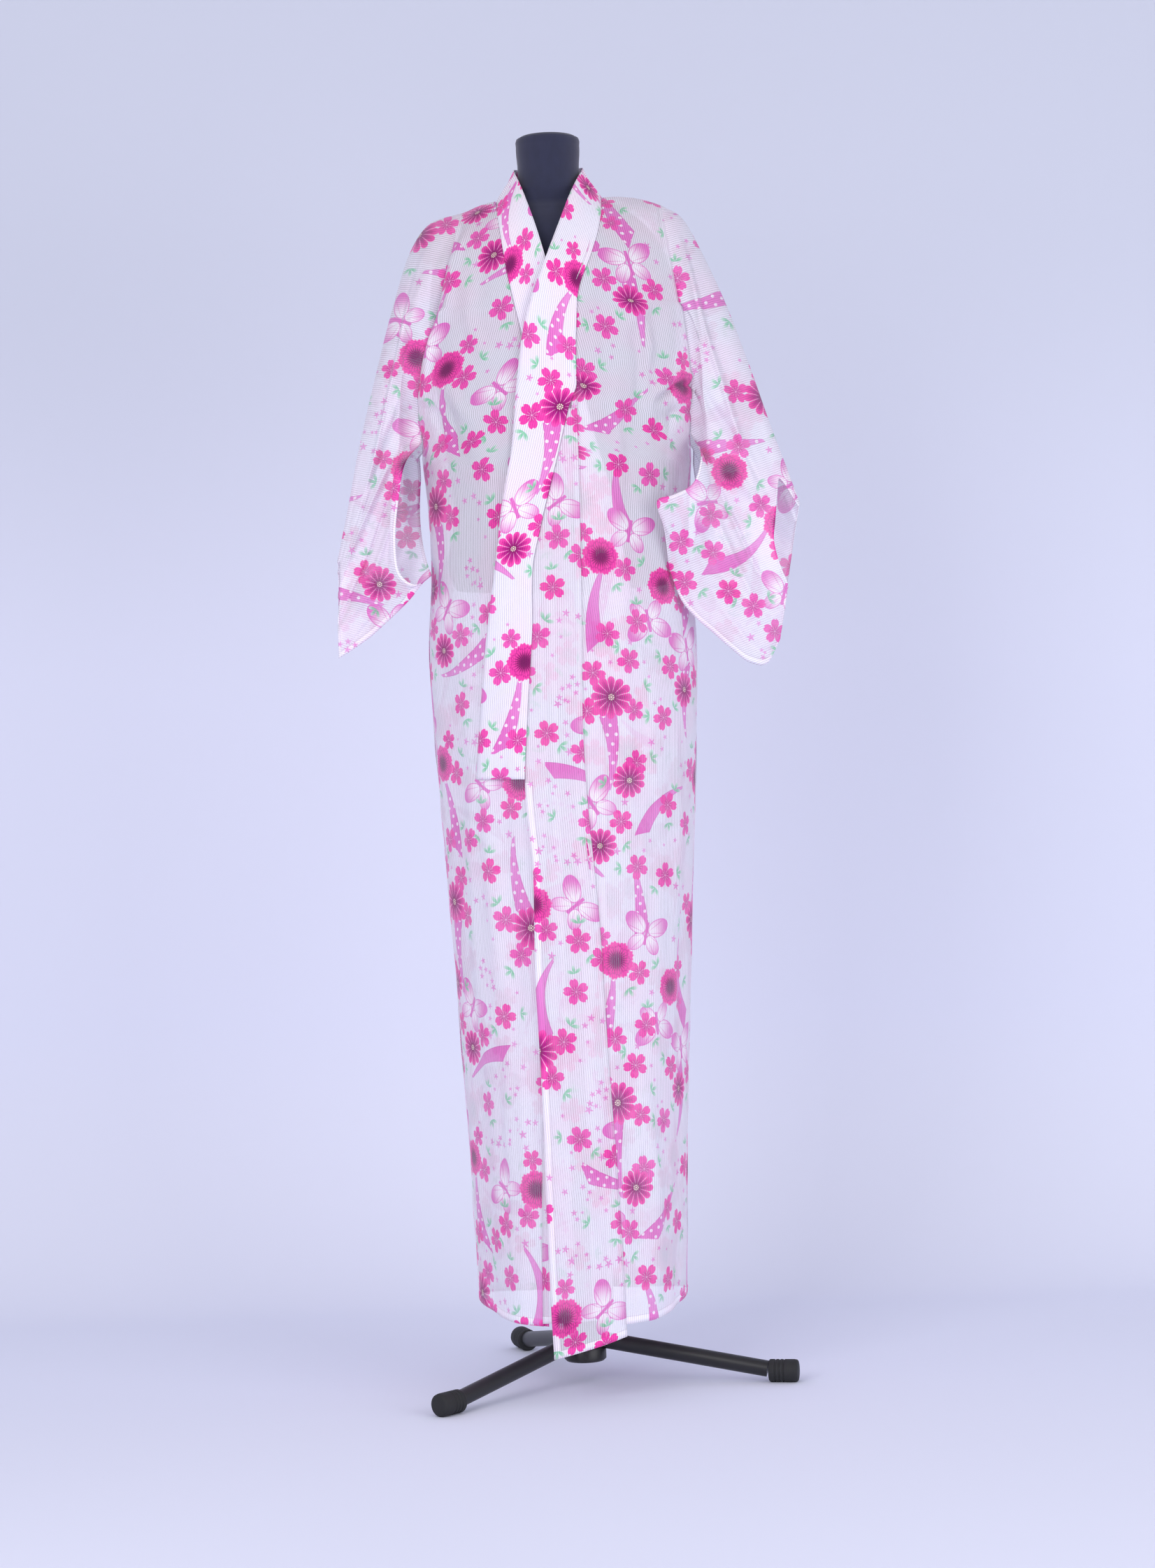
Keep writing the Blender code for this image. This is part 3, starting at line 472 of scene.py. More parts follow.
@dataclass
class BodyPanel:
    """Front and back of one side in one length of cloth, over the shoulder.

    Attributes:
        side: The wearer's side.
        spacing: Distance between points.
        slit: Height where front and back part below the sleeve.
    """

    side: Side
    spacing: float = 0.006
    slit: float = 1.308

    def outer(self, height: Array) -> Array:
        """Distance of the outer edge: side seam, short slit, then the seam to the sleeve."""
        half = smooth(BODY_RINGS, height, 1)
        arm = smooth(ARMSCYE[self.side], height, 1)
        share = np.clip((height - self.slit) / (UNDERARM - self.slit), 0, 1)
        return half + (arm - half) * share

    def rows(self, height: Array, edge: Array, face: Face, columns: int) -> Array:
        """Level rows from the centre edge to the outer, evenly spaced in the ellipse's angle.

        Args:
            height: Heights of the rows.
            edge: Distances of their centre edges.
            face: Front or back.
            columns: Points across.

        Returns:
            Rows, columns, xyz.
        """
        half = smooth(BODY_RINGS, height, 1)
        start = np.arcsin(np.clip(edge / half, -1, 1))[:, None]
        end = np.arcsin(np.clip(self.outer(height) / half, -1, 1))[:, None]
        angle = start + (end - start) * np.linspace(0, 1, columns)
        height = height[:, None]
        lifted = height + HEM_SIDE_RISE * np.sin(angle) ** 4 * near_hem(height)
        x = smooth(BODY_RINGS, lifted, 1) * np.sin(angle) * self.side
        layer = over_layer(x * self.side, lifted, self.side) if face == Face.FRONT else 0.0
        return body_point(x, lifted, face, layer)

    def over_shoulder(self, columns: int) -> Array:
        """Rows over the shoulder: y shrinks as the cosine of the turn, z rises as its sine.

        Args:
            columns: Points across.

        Returns:
            Rows, columns, xyz.
        """
        count = int(0.42 / self.spacing)
        turn = np.linspace(0, 180, count + 2)[1:-1]
        sine, cosine = np.sin(np.radians(turn)), np.abs(np.cos(np.radians(turn)))
        rise = SPRING + (SHOULDER_TOP - SPRING) * sine
        swing = np.clip((turn - 88) / (BACK_NECK_TURN - 88), 0, 1)
        neck = smooth(NECK_EDGE[self.side], np.where(swing > 0, SHOULDER_TOP, rise), 1)
        edge = np.maximum(neck * np.sqrt(1 - swing**2), SEAM / 2)[:, None]
        outer = smooth(ARMSCYE[self.side], rise, 1)[:, None]
        x = (edge + (outer - edge) * np.linspace(0, 1, columns)) * self.side
        crest = smooth(RIDGE[self.side], np.abs(x), 1)
        z = SPRING + (crest - SPRING) * sine[:, None]
        parts = []
        for face, chosen in ((Face.FRONT, turn <= 90), (Face.BACK, turn > 90)):
            spring = np.full_like(x[chosen], SPRING)
            layer = over_layer(x[chosen] * self.side, spring, self.side) * (face == Face.FRONT)
            base = body_point(x[chosen], spring, face, layer)
            more = relief(x[chosen], z[chosen], face) - relief(x[chosen], spring, face)
            part = np.stack([x[chosen], base[..., 1] * cosine[chosen, None], z[chosen]], -1)
            part[..., 1] += face * more * cosine[chosen, None]
            part[..., 2] += (more + relief(x[chosen], spring, face)) * sine[chosen, None]
            parts.append(part)
        return np.concatenate(parts)

    def heights(self) -> Array:
        """Heights of the rows below the shoulder."""
        return np.linspace(HEM, SPRING, int((SPRING - HEM) / self.spacing))

    def sheet(self) -> Sheet:
        """The whole panel, from the front hem over the shoulder to the back hem."""
        columns = int(0.25 / self.spacing)
        heights = self.heights()
        seam = np.where(heights < 1.40, smooth(OVERLAP_SEAM, heights, 1),
                        smooth(NECK_EDGE[self.side], heights, 1))
        front = self.rows(heights, seam + SEAM / 2, Face.FRONT, columns)
        back = self.rows(heights, np.full_like(heights, SEAM / 2), Face.BACK, columns)
        below = heights < self.slit
        front[below, -1, 1] -= SEAM
        back[below, -1, 1] += SEAM
        points = np.concatenate([front, self.over_shoulder(columns), back[::-1]])
        flat = unrolled(points[:, ::-1])[:, ::-1]
        along = flat[:, :1, 1]
        points, flat = self.allowance(points, flat)
        hem = np.broadcast_to(np.minimum(along, along[-1:] - along), flat.shape[:2])
        return Sheet(points, flat, np.full_like(hem, FAR), hem)

    def allowance(self, points: Array, flat: Array) -> tuple[Array, Array]:
        """Adds the seam allowance along the centre edge, as TUCKED columns pressed under the seam.

        Its points run on past the edge, and lie under it by a depth that differs between the
        sides, so that the two do not meet at the centre back.

        Args:
            points: The panel's points.
            flat: Their places on the flat cut.

        Returns:
            Both with the new columns in front.
        """
        edge = points[:, 0]
        onward = unit(edge - points[:, 2])
        inward = unit(np.cross(np.gradient(edge, axis=0), onward))
        core = np.stack([0 * edge[:, 0], 0 * edge[:, 1], np.minimum(edge[:, 2], SPRING)], -1)
        inward *= np.where((inward * (edge - core)).sum(1) > 0, -1.0, 1.0)[:, None]
        depth = TUCK_DEPTH[self.side]
        strip = [edge + reach * onward + share * depth * inward for reach, share in TUCK_STEPS]
        cut = [flat[:, 0] + np.array([reach, 0.0]) for reach, _ in TUCK_STEPS]
        return (np.concatenate([np.stack(strip, 1), points], 1),
                np.concatenate([np.stack(cut, 1), flat], 1))


@dataclass
class Overlap:
    """The overlap sewn to the front edge of one body panel.

    Attributes:
        side: The wearer's side.
        spacing: Distance between points.
    """

    side: Side
    spacing: float = 0.005

    def sheet(self) -> Sheet:
        """The overlap, from its seam to its edge, which is free below the collar's end."""
        columns = int(0.11 / self.spacing)
        height = np.linspace(HEM, OVERLAP_TOP, int((OVERLAP_TOP - HEM) / self.spacing))
        seam_hem, edge_hem = OVERLAP_HEM[self.side]
        start = smooth(OVERLAP_SEAM, height, 1)[:, None] - SEAM / 2
        end = -smooth(OVERLAP_EDGE, height, 1)[:, None]
        share = np.linspace(0, 1, columns)
        x = (start + (end - start) * share) * self.side
        drop = seam_hem + (edge_hem - seam_hem) * share - HEM
        level = height[:, None] + drop * near_hem(height)[:, None]
        points = body_point(x, level, Face.FRONT, LAYER if self.side == Side.LEFT else 0.0)
        flat = unrolled(points)
        across = flat[..., 0]
        free = np.where(height[:, None] < COLLAR_END, across[:, -1:] - across, FAR)
        hem = np.minimum(free, arc_lengths(points, 0))
        return Sheet(points, flat, np.full_like(hem, FAR), hem)


@dataclass
class CollarBand:
    """The collar, folded lengthwise, from the over front's square end round the neck to the under
    front's end.

    Attributes:
        spacing: Distance between points.
        columns: Points across its width.
        ridge: Height of the ridge where it turns over the shoulder.
    """

    spacing: float = 0.005
    columns: int = 15
    ridge: float = 0.0034

    def front(self, points: Array, side: Side) -> Array:
        """Rows of one half in front.

        A row runs straight in x and z from its sewn point to its free edge. Below the shoulder it
        lies on the body's surface, beside the neck it runs straight in y too, and the two are
        mixed by height.

        Args:
            points: Sewn edge, one point a row.
            side: The wearer's side.

        Returns:
            Rows, columns, xyz.
        """
        height = points[:, 2]
        free_z = smooth(COLLAR_FREE[side], height, 1)[:, None]
        free_x = -side * smooth(COLLAR_FREE[side], height, 2)[:, None]
        share = np.linspace(0, 1, self.columns)
        px, py, pz = (points[:, k][:, None] for k in range(3))
        x = px - side * SEAM + share * (free_x - px)
        z = pz + share * (free_z - pz)
        layer = LAYER if side == Side.LEFT else 0.0
        skin = body_point(x, np.minimum(z, SPRING), Face.FRONT, layer)[..., 1]
        beside = smooth(COLLAR_DEPTH, free_z, 1) - layer * (1 - ease(1.588, 1.638, free_z))
        straight = py + share * (beside - py)
        mix = ease(1.44, 1.56, pz)
        y = (py + skin - skin[:, :1]) * (1 - mix) + straight * mix
        return np.stack([x, y, z], -1)

    def nape(self, points: Array, side: Side) -> Array:
        """Rows of one half behind the shoulder, straight from sewn point to the neck's curve."""
        along = (np.arange(len(points)) + 1) / (len(points) + 1)
        free = np.stack([smooth(COLLAR_NECK, along, k) for k in (1, 2, 3)], -1) * (side, 1, 1)
        start = points + np.array([-side * SEAM, -SEAM, SEAM])
        share = np.linspace(0, 1, self.columns)[None, :, None]
        return start[:, None] + share * (free - start)[:, None]

    def half(self, panel: Sheet, overlap: Sheet, side: Side) -> Array:
        """One half, from its end to the row before the centre back, evened out along its length.

        Args:
            panel: The body panel on this side.
            overlap: The overlap on this side.
            side: The wearer's side.

        Returns:
            Rows, columns, xyz.
        """
        edge = overlap.points[:, -1]
        body = panel.points[:, TUCKED]
        top = int(np.argmax(body[:, 2]))
        crest = int(np.argmax(body[:, 1] > -0.004))
        rising = body[:max(top, crest)]
        rising = rising[(rising[:, 2] >= 1.40) & (np.arange(len(rising)) < crest)]
        sewn = resample(np.concatenate([edge[edge[:, 2] >= COLLAR_END], rising]), self.spacing)
        behind = body[crest:]
        behind = behind[(behind[:, 0] * side > 4 * SEAM) & (behind[:, 2] > 1.6)]
        rows = np.concatenate([self.front(sewn, side), self.nape(behind, side)[2:]])
        crossing = len(sewn)
        run = arc_lengths(rows, 0).mean(1)
        count = max(60, int(run[-1] / self.spacing))
        at = np.linspace(0, run[-1], count)
        made = np.stack([np.stack([np.interp(at, run, rows[:, c, k]) for k in range(3)], -1)
                         for c in range(self.columns)], 1)
        near = np.exp(-(((at - run[crossing - 1]) / 0.045) ** 2))[:, None, None]
        for _ in range(60):
            middle = (made[:-2] + made[2:]) / 2
            made[1:-1] += 0.5 * near[1:-1] * (middle - made[1:-1])
        normal = unit(np.cross(np.gradient(made, axis=0), np.gradient(made, axis=1)))
        normal *= np.where((normal * (made - (0.0, 0.0, 1.62))).sum(-1) < 0, -1.0, 1.0)[..., None]
        ridge = np.exp(-(((at - run[crossing - 1] + 0.004) / 0.0045) ** 2))[:, None, None]
        dip = np.exp(-(((at - run[crossing - 1] - 0.008) / 0.0060) ** 2))[:, None, None]
        across = np.sin(math.pi * np.linspace(0.12, 0.88, self.columns))[None, :, None]
        return made + normal * self.ridge * across * (ridge - 0.7 * dip)

    def sheet(self, panels: dict, overlaps: dict) -> Sheet:
        """Both halves and the centre-back row between them."""
        left = self.half(panels[Side.LEFT], overlaps[Side.LEFT], Side.LEFT)
        right = self.half(panels[Side.RIGHT], overlaps[Side.RIGHT], Side.RIGHT)
        points = np.concatenate([left, right[::-1]])
        middle = slice(len(left) - 5, len(left) + 5)
        for _ in range(20):
            points[middle] = (points[len(left) - 6:len(left) + 4] + 2 * points[middle]
                              + points[len(left) - 4:len(left) + 6]) / 4
        far = np.full(points.shape[:2], FAR)
        return Sheet(points, unrolled(points), far, far)


@dataclass
class Sleeve:
    """A hanging bag of cloth: loops from the armscye to the wrist, open toward the body.

    Attributes:
        side: The wearer's side.
        panel: The body panel that it is sewn to.
        spacing: Distance between points.
        narrow: How much narrower its hems are than the body's.
        flare: How far its open edge leans out over the arm's length.
        tuck: How far the sewn lip lies inward and back, and the open lip inward and on.
    """

    side: Side
    panel: Sheet
    spacing: float = 0.005
    narrow: float = 0.0055
    flare: float = 0.025
    tuck: tuple[float, ...] = (0.0022, 0.006, 0.0014, 0.001)

    def clear_of_body(self, points: Array, along: Array) -> Array:
        """Keeps points beyond the armscye above the underarm, and outside the body below it.

        Args:
            points: Points of the sleeve.
            along: Their shares along the arm.

        Returns:
            The points, moved where need be.
        """
        out = points.copy()
        z = out[..., 2]
        above = ease(UNDERARM - 0.02, UNDERARM + 0.03, z)
        least = smooth(ARMSCYE[self.side], z, 1) + SEAM + SLEEVE_SPREAD * along
        reach = out[..., 0] * self.side
        out[..., 0] += self.side * above * (np.maximum(reach, least) - reach)
        room = SLEEVE_ROOM * (1 - ease(UNDERARM - 0.015, UNDERARM, z))
        half = smooth(BODY_RINGS, z, 1) + room
        depth = np.where(out[..., 1] < 0, smooth(BODY_RINGS, z, 2), smooth(BODY_RINGS, z, 3)) + room
        ratio = np.sqrt((out[..., 0] / half) ** 2 + (out[..., 1] / depth) ** 2)
        push = np.where((ratio < 1) & (z < UNDERARM - 0.004), 1 / np.maximum(ratio, 0.2), 1.0)
        out[..., :2] *= push[..., None]
        return out

    def armscye(self) -> Array:
        """The panel's edge between the two ends of the sleeve's seam, moved just outside it."""
        points = self.panel.points
        edge = points[:, -1]
        out = unit(np.cross(edge - points[:, -2], np.gradient(edge, axis=0)))
        out *= np.sign(out[len(out) // 2, 2])
        chosen = edge[:, 2] >= UNDERARM - 0.002
        moved = edge[chosen] + WALL * out[chosen]
        moved[:, 0] += self.side * (SEAM + WALL)
        return moved

    def first_loop(self) -> tuple[Array, int, int]:
        """The loop at the body: hanging front edge, armscye, hanging back edge.

        The front edge is a smooth curve through its table, the back one a parabola from the bottom
        to the armscye's end.

        Returns:
            The loop, how many points it has before the armscye, and which one is at the ridge.
        """
        path = SLEEVE_PATH[self.side]
        armscye = self.armscye()
        bottom = np.array([path[0][3] * self.side, path[0][5], path[0][4]])
        count = int(0.24 / self.spacing)
        share = np.linspace(0, 1, count + 1)[:-1, None]
        way = (self.side, 1, 1)
        edge = ([(0.0, *bottom)] + [(at, *np.multiply(place, way)) for at, *place
                                    in FURI_FRONT[self.side]] + [(1.0, *armscye[0])])
        front = np.concatenate([smooth(edge, share, k) for k in (1, 2, 3)], 1)
        middle = np.multiply(FURI_BACK[self.side], way)
        back = ((1 - share) ** 2 * bottom + 2 * share * (1 - share) * middle
                + share**2 * armscye[-1])[:0:-1]
        loop = self.clear_of_body(np.concatenate([front, armscye, back]), np.zeros(()))
        loop[count:count + len(armscye)] = armscye
        return loop, count, count + len(armscye) // 2

    def sheet(self) -> Sheet:
        """The whole sleeve.

        Near the body a loop is the first loop carried out along the ridge and the bottom. Toward
        the wrist it is a lens between ridge and bottom, whose half depth is
        depth * sqrt(1 - (2 a^0.9 - 1)^2) * (1 - 0.45 a) at a share a of the way down. The folds
        are Gaussians across, faded along.

        Returns:
            The sleeve as rows from the body to the wrist, each a closed loop.
        """
        path = SLEEVE_PATH[self.side]
        loop, count, top = self.first_loop()
        stations = int(0.33 / self.spacing)
        u = np.linspace(0, 1, stations)[:, None]
        across = np.concatenate([np.linspace(1, 0, top + 1),
                                 np.linspace(0, 1, len(loop) - top + 1)[1:-1]])[None, :]
        facing = np.where(np.arange(len(loop)) <= top, -1.0, 1.0)[None, :]
        setback = CUFF_SETBACK[self.side] * (facing < 0) * ease(0.02, 0.14, across) * (
            1 - ease(0.40, 0.62, across))
        arm = u * (1 - setback)
        ridge = np.stack([smooth(path, arm, 1) * self.side, -0.012 * arm, smooth(path, arm, 2)], -1)
        low = np.stack([smooth(path, arm, 3) * self.side, smooth(path, arm, 5),
                        smooth(path, arm, 4)], -1)
        depth = smooth(path, arm, 6)
        belly = np.sqrt(np.clip(1 - (2 * across**0.9 - 1) ** 2, 0, 1)) * (1 - 0.45 * across)
        target = ridge + across[..., None] * (low - ridge)
        target[..., 1] += facing * np.where(across < 1, np.maximum(depth * belly, LENS), 0)
        target[..., 1] += facing * self.folds(across, u, facing)
        carried = (loop[None] + (1 - across)[..., None] * (ridge - loop[top])
                   + across[..., None] * (low - loop[0]))
        mix = ease(0.0, 0.45, u)[..., None]
        points = carried * (1 - mix) + target * mix
        hanging = (np.arange(len(loop)) < count)[None, :]
        beyond = (loop[None, :, 0] * self.side + self.flare * u) - points[..., 0] * self.side
        points[..., 0] += self.side * hanging * np.maximum(beyond, 0)
        points[1:] = self.clear_of_body(points[1:], u[1:])
        points[0] = loop
        flat = self.flat(points, facing)
        run = arc_lengths(points, 1)
        width = arc_lengths(points, 0)
        column = np.arange(len(loop))
        open_edge = (column < count) | (column > 2 * top - count)
        hem = np.minimum(width[-1:] - width, np.where(open_edge, width, FAR)) + self.narrow
        seam = np.minimum(run, run[:, -1:] - run)
        sewn = ease(0, 4, np.minimum(column - count, 2 * top - count - column))[:, None]
        lip = self.lip(loop, unit(points[3] - points[0]), sewn, facing[0])
        points = np.concatenate([lip[None], points])
        flat, seam, hem = (np.concatenate([grid[:1], grid]) for grid in (flat, seam, hem))
        return Sheet(points, flat, seam, hem, loop=True)

    @staticmethod
    def folds(across: Array, u: Array, facing: Array) -> Array:
        """Outward depth of the sleeve's folds and faint waves, none at its ridge and bottom.

        Args:
            across: Shares of the way from ridge to bottom.
            u: Shares along the arm.
            facing: -1 in front, 1 behind.

        Returns:
            Depths in metres.
        """
        wave = 1.4 * rippled(across * 0.45 + 0.7, u * 0.33)
        for place, width, out, middle, spread, drift, on in SLEEVE_FOLDS:
            shown = 1.0 if on == 0 else (facing == on)
            centre = place + drift * (u - middle)
            wave = wave + shown * out * np.exp(-(((across - centre) / width) ** 2)
                                               - ((u - middle) / spread) ** 2)
        return wave * np.sin(math.pi * np.clip(across, 0, 1)) ** 0.3

    def flat(self, points: Array, facing: Array) -> Array:
        """Places on the flat cut: along the ridge's slope and across it, front and back apart."""
        shoulder, wrist = (np.array(SLEEVE_PATH[self.side][row][1:3]) for row in (1, -1))
        slope = unit(wrist - shoulder)
        out = points[..., 0] * self.side - shoulder[0]
        up = points[..., 2] - shoulder[1]
        return np.stack([out * slope[0] + up * slope[1],
                         facing * (out * slope[1] - up * slope[0])], -1)

    def lip(self, loop: Array, outward: Array, sewn: Array, facing: Array) -> Array:
        """A loop inside the first, which turns the cloth's edge in.

        Args:
            loop: The first loop.
            outward: Directions away from the body along the sleeve.
            sewn: 1 where the loop is sewn to the panel, 0 where it is open.
            facing: -1 in front, 1 behind.

        Returns:
            The points of the new loop.
        """
        inner = np.array([0.0, 0.0, 1.30]) - loop
        inner[:, 2] = np.minimum(inner[:, 2], 0)
        turned_in = np.stack([0 * facing, -facing, 0 * facing], -1)
        inward, back, turn_in, on = self.tuck
        return loop + sewn * (inward * unit(inner) - back * outward) + (1 - sewn) * (
            turn_in * turned_in + on * outward)


# ---------------------------------------------------------------- the print

REPEAT = (0.340, 0.560)  # width and length of the print's repeat
# Sprays of the print, about each spray's middle: motif, across mm, along mm, turn, radius mm.
SPRAYS = {
    "grand": """daisy 0 0 0 31; daisy 37 -36 40 28; blossom -38 12 10 20; blossom 30 24 50 17
        blossom -18 -38 25 19; blossom 6 46 60 17; leaf -48 34 130 14; leaf 54 -4 -10 13
        leaf -34 -58 215 13; streamer -16 70 98 60; streamer 46 -84 76 64""",
    "twin": """carnation 0 0 0 28; blossom 36 -8 15 19; blossom -30 -24 55 18; blossom 16 36 30 15
        butterfly -52 26 24 40; leaf 46 20 60 13; leaf -10 -42 250 13; streamer 26 -66 112 58""",
    "drift": """butterfly 0 0 -18 42; blossom 38 -30 40 19; blossom -34 -34 5 18; daisy 4 -58 20 26
        leaf 58 -18 -20 13; leaf -30 -66 230 12; streamer -46 34 68 56""",
    "small": """blossom 0 0 0 19; blossom 26 20 45 16; leaf -22 10 150 13; leaf 12 -22 -70 12
        streamer 34 -46 62 54""",
}
# Where the sprays sit in one repeat: spray, across mm, along mm, turn.
PLACES = """
grand 80 440 0; small 176 506 20; twin 258 392 -10; small 318 474 140; drift 120 262 8
small 30 318 70; grand 262 196 170; small 180 166 210; twin 70 82 30; small 172 44 -30
drift 292 48 -14; small 8 186 100; small 214 300 -60; small 66 204 15; drift 186 258 24
small 320 284 -20; small 226 520 60; small 226 104 10; twin 164 350 150; small 12 30 -60
small 40 384 -40; small 130 16 80; drift 222 24 160; small 262 284 45; small 20 520 150
"""
STARS_PER_REPEAT = 84
STAR_SIZES = (0.0028, 0.0068)
STAR_GAPS = (0.002, 0.045)  # least and greatest gap between a star and the motif nearest it
APART = 0.007  # least gap between two motifs of a kind
NOWHERE = 9.0  # local place of a face that no motif touches
MARGIN = 0.1  # how far past a piece the repeats are laid, more than a motif's radius


@dataclass(frozen=True)
class Stamp:
    """One printed motif.

    Attributes:
        motif: Its kind.
        place: Its middle on the flat cloth, in metres.
        turn: Degrees counter-clockwise.
        size: Radius in metres.
        seed: Number from 0 to 1 that varies it.
    """

    motif: Motif
    place: tuple[float, float]
    turn: float
    size: float
    seed: float


def clear_of_kin(new: Stamp, stamps: Sequence[Stamp]) -> bool:
    """Whether a stamp keeps its distance from its own kind, in this repeat and those round it.

    Args:
        new: The stamp.
        stamps: Those already in the repeat.

    Returns:
        Whether it is clear of them.
    """
    for stamp in (s for s in stamps if s.motif == new.motif):
        for i in (-1, 0, 1):
            for j in (-1, 0, 1):
                # the next column of the repeat is dropped by half its length
                gap = math.hypot(
                    stamp.place[0] - new.place[0] + i * REPEAT[0],
                    stamp.place[1] - new.place[1] + (j + 0.5 * abs(i)) * REPEAT[1])
                if gap < 0.9 * (stamp.size + new.size) + APART:
                    return False
    return True


def entries(chart: str) -> list[tuple[str, list[float]]]:
    """The entries of a chart, parted by semicolons and line breaks, each a name and its numbers."""
    words = [entry.split() for line in chart.strip().splitlines() for entry in line.split(";")]
    return [(name, [float(number) for number in numbers]) for name, *numbers in words]


def chart_stamps() -> list[Stamp]:
    """Sets each spray in its place, and strews stars where the cloth is bare.

    Returns:
        The stamps of one repeat.
    """
    stamps = []
    for spray, (across, along, turned) in entries(PLACES):
        c, s = bearing(turned)
        for kind, (x, y, turn, size) in entries(SPRAYS[spray]):
            middle = ((across + c * x - s * y) / 1000, (along + s * x + c * y) / 1000)
            made = Stamp(Motif(kind), middle, turn + turned, size / 1000,
                         (len(stamps) * 0.381966) % 1.0)
            if clear_of_kin(made, stamps):
                stamps.append(made)
    draw = np.random.default_rng(11)
    taken = [(s.place, s.size) for s in stamps]
    strewn = 0
    while strewn < STARS_PER_REPEAT:
        place = (float(draw.uniform(0, REPEAT[0])), float(draw.uniform(0, REPEAT[1])))
        size = float(draw.uniform(*STAR_SIZES))
        gaps = [math.hypot(place[0] - p[0], place[1] - p[1]) - r for p, r in taken]
        if STAR_GAPS[0] < min(gaps) < STAR_GAPS[1]:
            stamps.append(Stamp(Motif.STAR, place, float(draw.uniform(0, 72)), size,
                                float(draw.uniform(0, 1))))
            taken.append((place, size))
            strewn += 1
    return stamps


class Print:
    """Lays the repeat over a sheet, as attributes that the cloth's material reads.

    Each layer is a corner attribute. It holds the corner's place in its motif's own frame, in
    motif radii, and the motif's seed. All corners of a face belong to one motif, so the place is
    exact between them.
    """

    def __init__(self) -> None:
        """Reads the chart."""
        self.stamps = chart_stamps()

    def lay(self, mesh: Mesh, flat: Array, shift: tuple[float, float]) -> None:
        """Writes the layers of the print to a mesh.

        Args:
            mesh: Mesh whose faces are in the order of flat.
            flat: Faces, corners, place on the flat cloth.
            shift: Where the repeat starts on this piece.
        """
        places = flat - shift
        middle = places.mean(1)
        reach = 0.5 * np.linalg.norm(places[:, 2] - places[:, 0], axis=-1).max() + 0.0005
        low = np.floor((middle.min(0) - MARGIN) / REPEAT).astype(int)
        high = np.ceil((middle.max(0) + MARGIN) / REPEAT).astype(int) + 1
        copies = [(i, j) for i in range(low[0], high[0]) for j in range(low[1], high[1])]
        for motif in Motif:
            layer = np.full(flat.shape[:2] + (3,), NOWHERE, np.float32)
            layer[..., 2] = 0
            for stamp in (s for s in self.stamps if s.motif == motif):
                for copy in copies:
                    self._stamp(stamp, copy, places, middle, reach, layer)
            write_corners(mesh, motif.value, layer)

    @staticmethod
    def _stamp(stamp: Stamp, copy: tuple[int, int], places: Array, middle: Array, reach: float,
               layer: Array) -> None:
        """Puts a stamp's copy in one repeat on the faces that are nearer to it than to others.

        Args:
            stamp: The stamp.
            copy: Which repeat, across and along.
            places: Faces, corners, place on the flat cloth.
            middle: Middles of the faces.
            reach: Greatest distance from a face's middle to its corner.
            layer: Faces, corners, local place and seed, which is written to.
        """
        i, j = copy
        # every second column of the repeat is dropped by half its length
        centre = (stamp.place[0] + i * REPEAT[0], stamp.place[1] + (j + 0.5 * (i % 2)) * REPEAT[1])
        near = np.flatnonzero(np.hypot(*(middle - centre).T) < stamp.size + reach)
        if not len(near):
            return
        local = (places[near] - centre) / stamp.size
        c, s = bearing(stamp.turn)
        x = local[..., 0] * c + local[..., 1] * s
        y = local[..., 1] * c - local[..., 0] * s
        seed = (stamp.seed + 0.37 * i + 0.61 * j) % 1.0
        made = np.stack([x, y, np.full_like(x, seed)], -1)
        held = np.hypot(layer[near, :, 0], layer[near, :, 1]).min(1)
        nearer = np.hypot(x, y).min(1) < held
        layer[near[nearer]] = made[nearer]


# ---------------------------------------------------------------- shader nodes

def linear(red: int, green: int, blue: int) -> tuple[float, float, float, float]:
    """A colour given in 8-bit sRGB, as linear red, green, blue and 1."""
    def channel(value: int) -> float:
        """Linear value of one 8-bit channel."""
        share = value / 255
        return share / 12.92 if share <= 0.04045 else ((share + 0.055) / 1.055) ** 2.4
    return (channel(red), channel(green), channel(blue), 1.0)


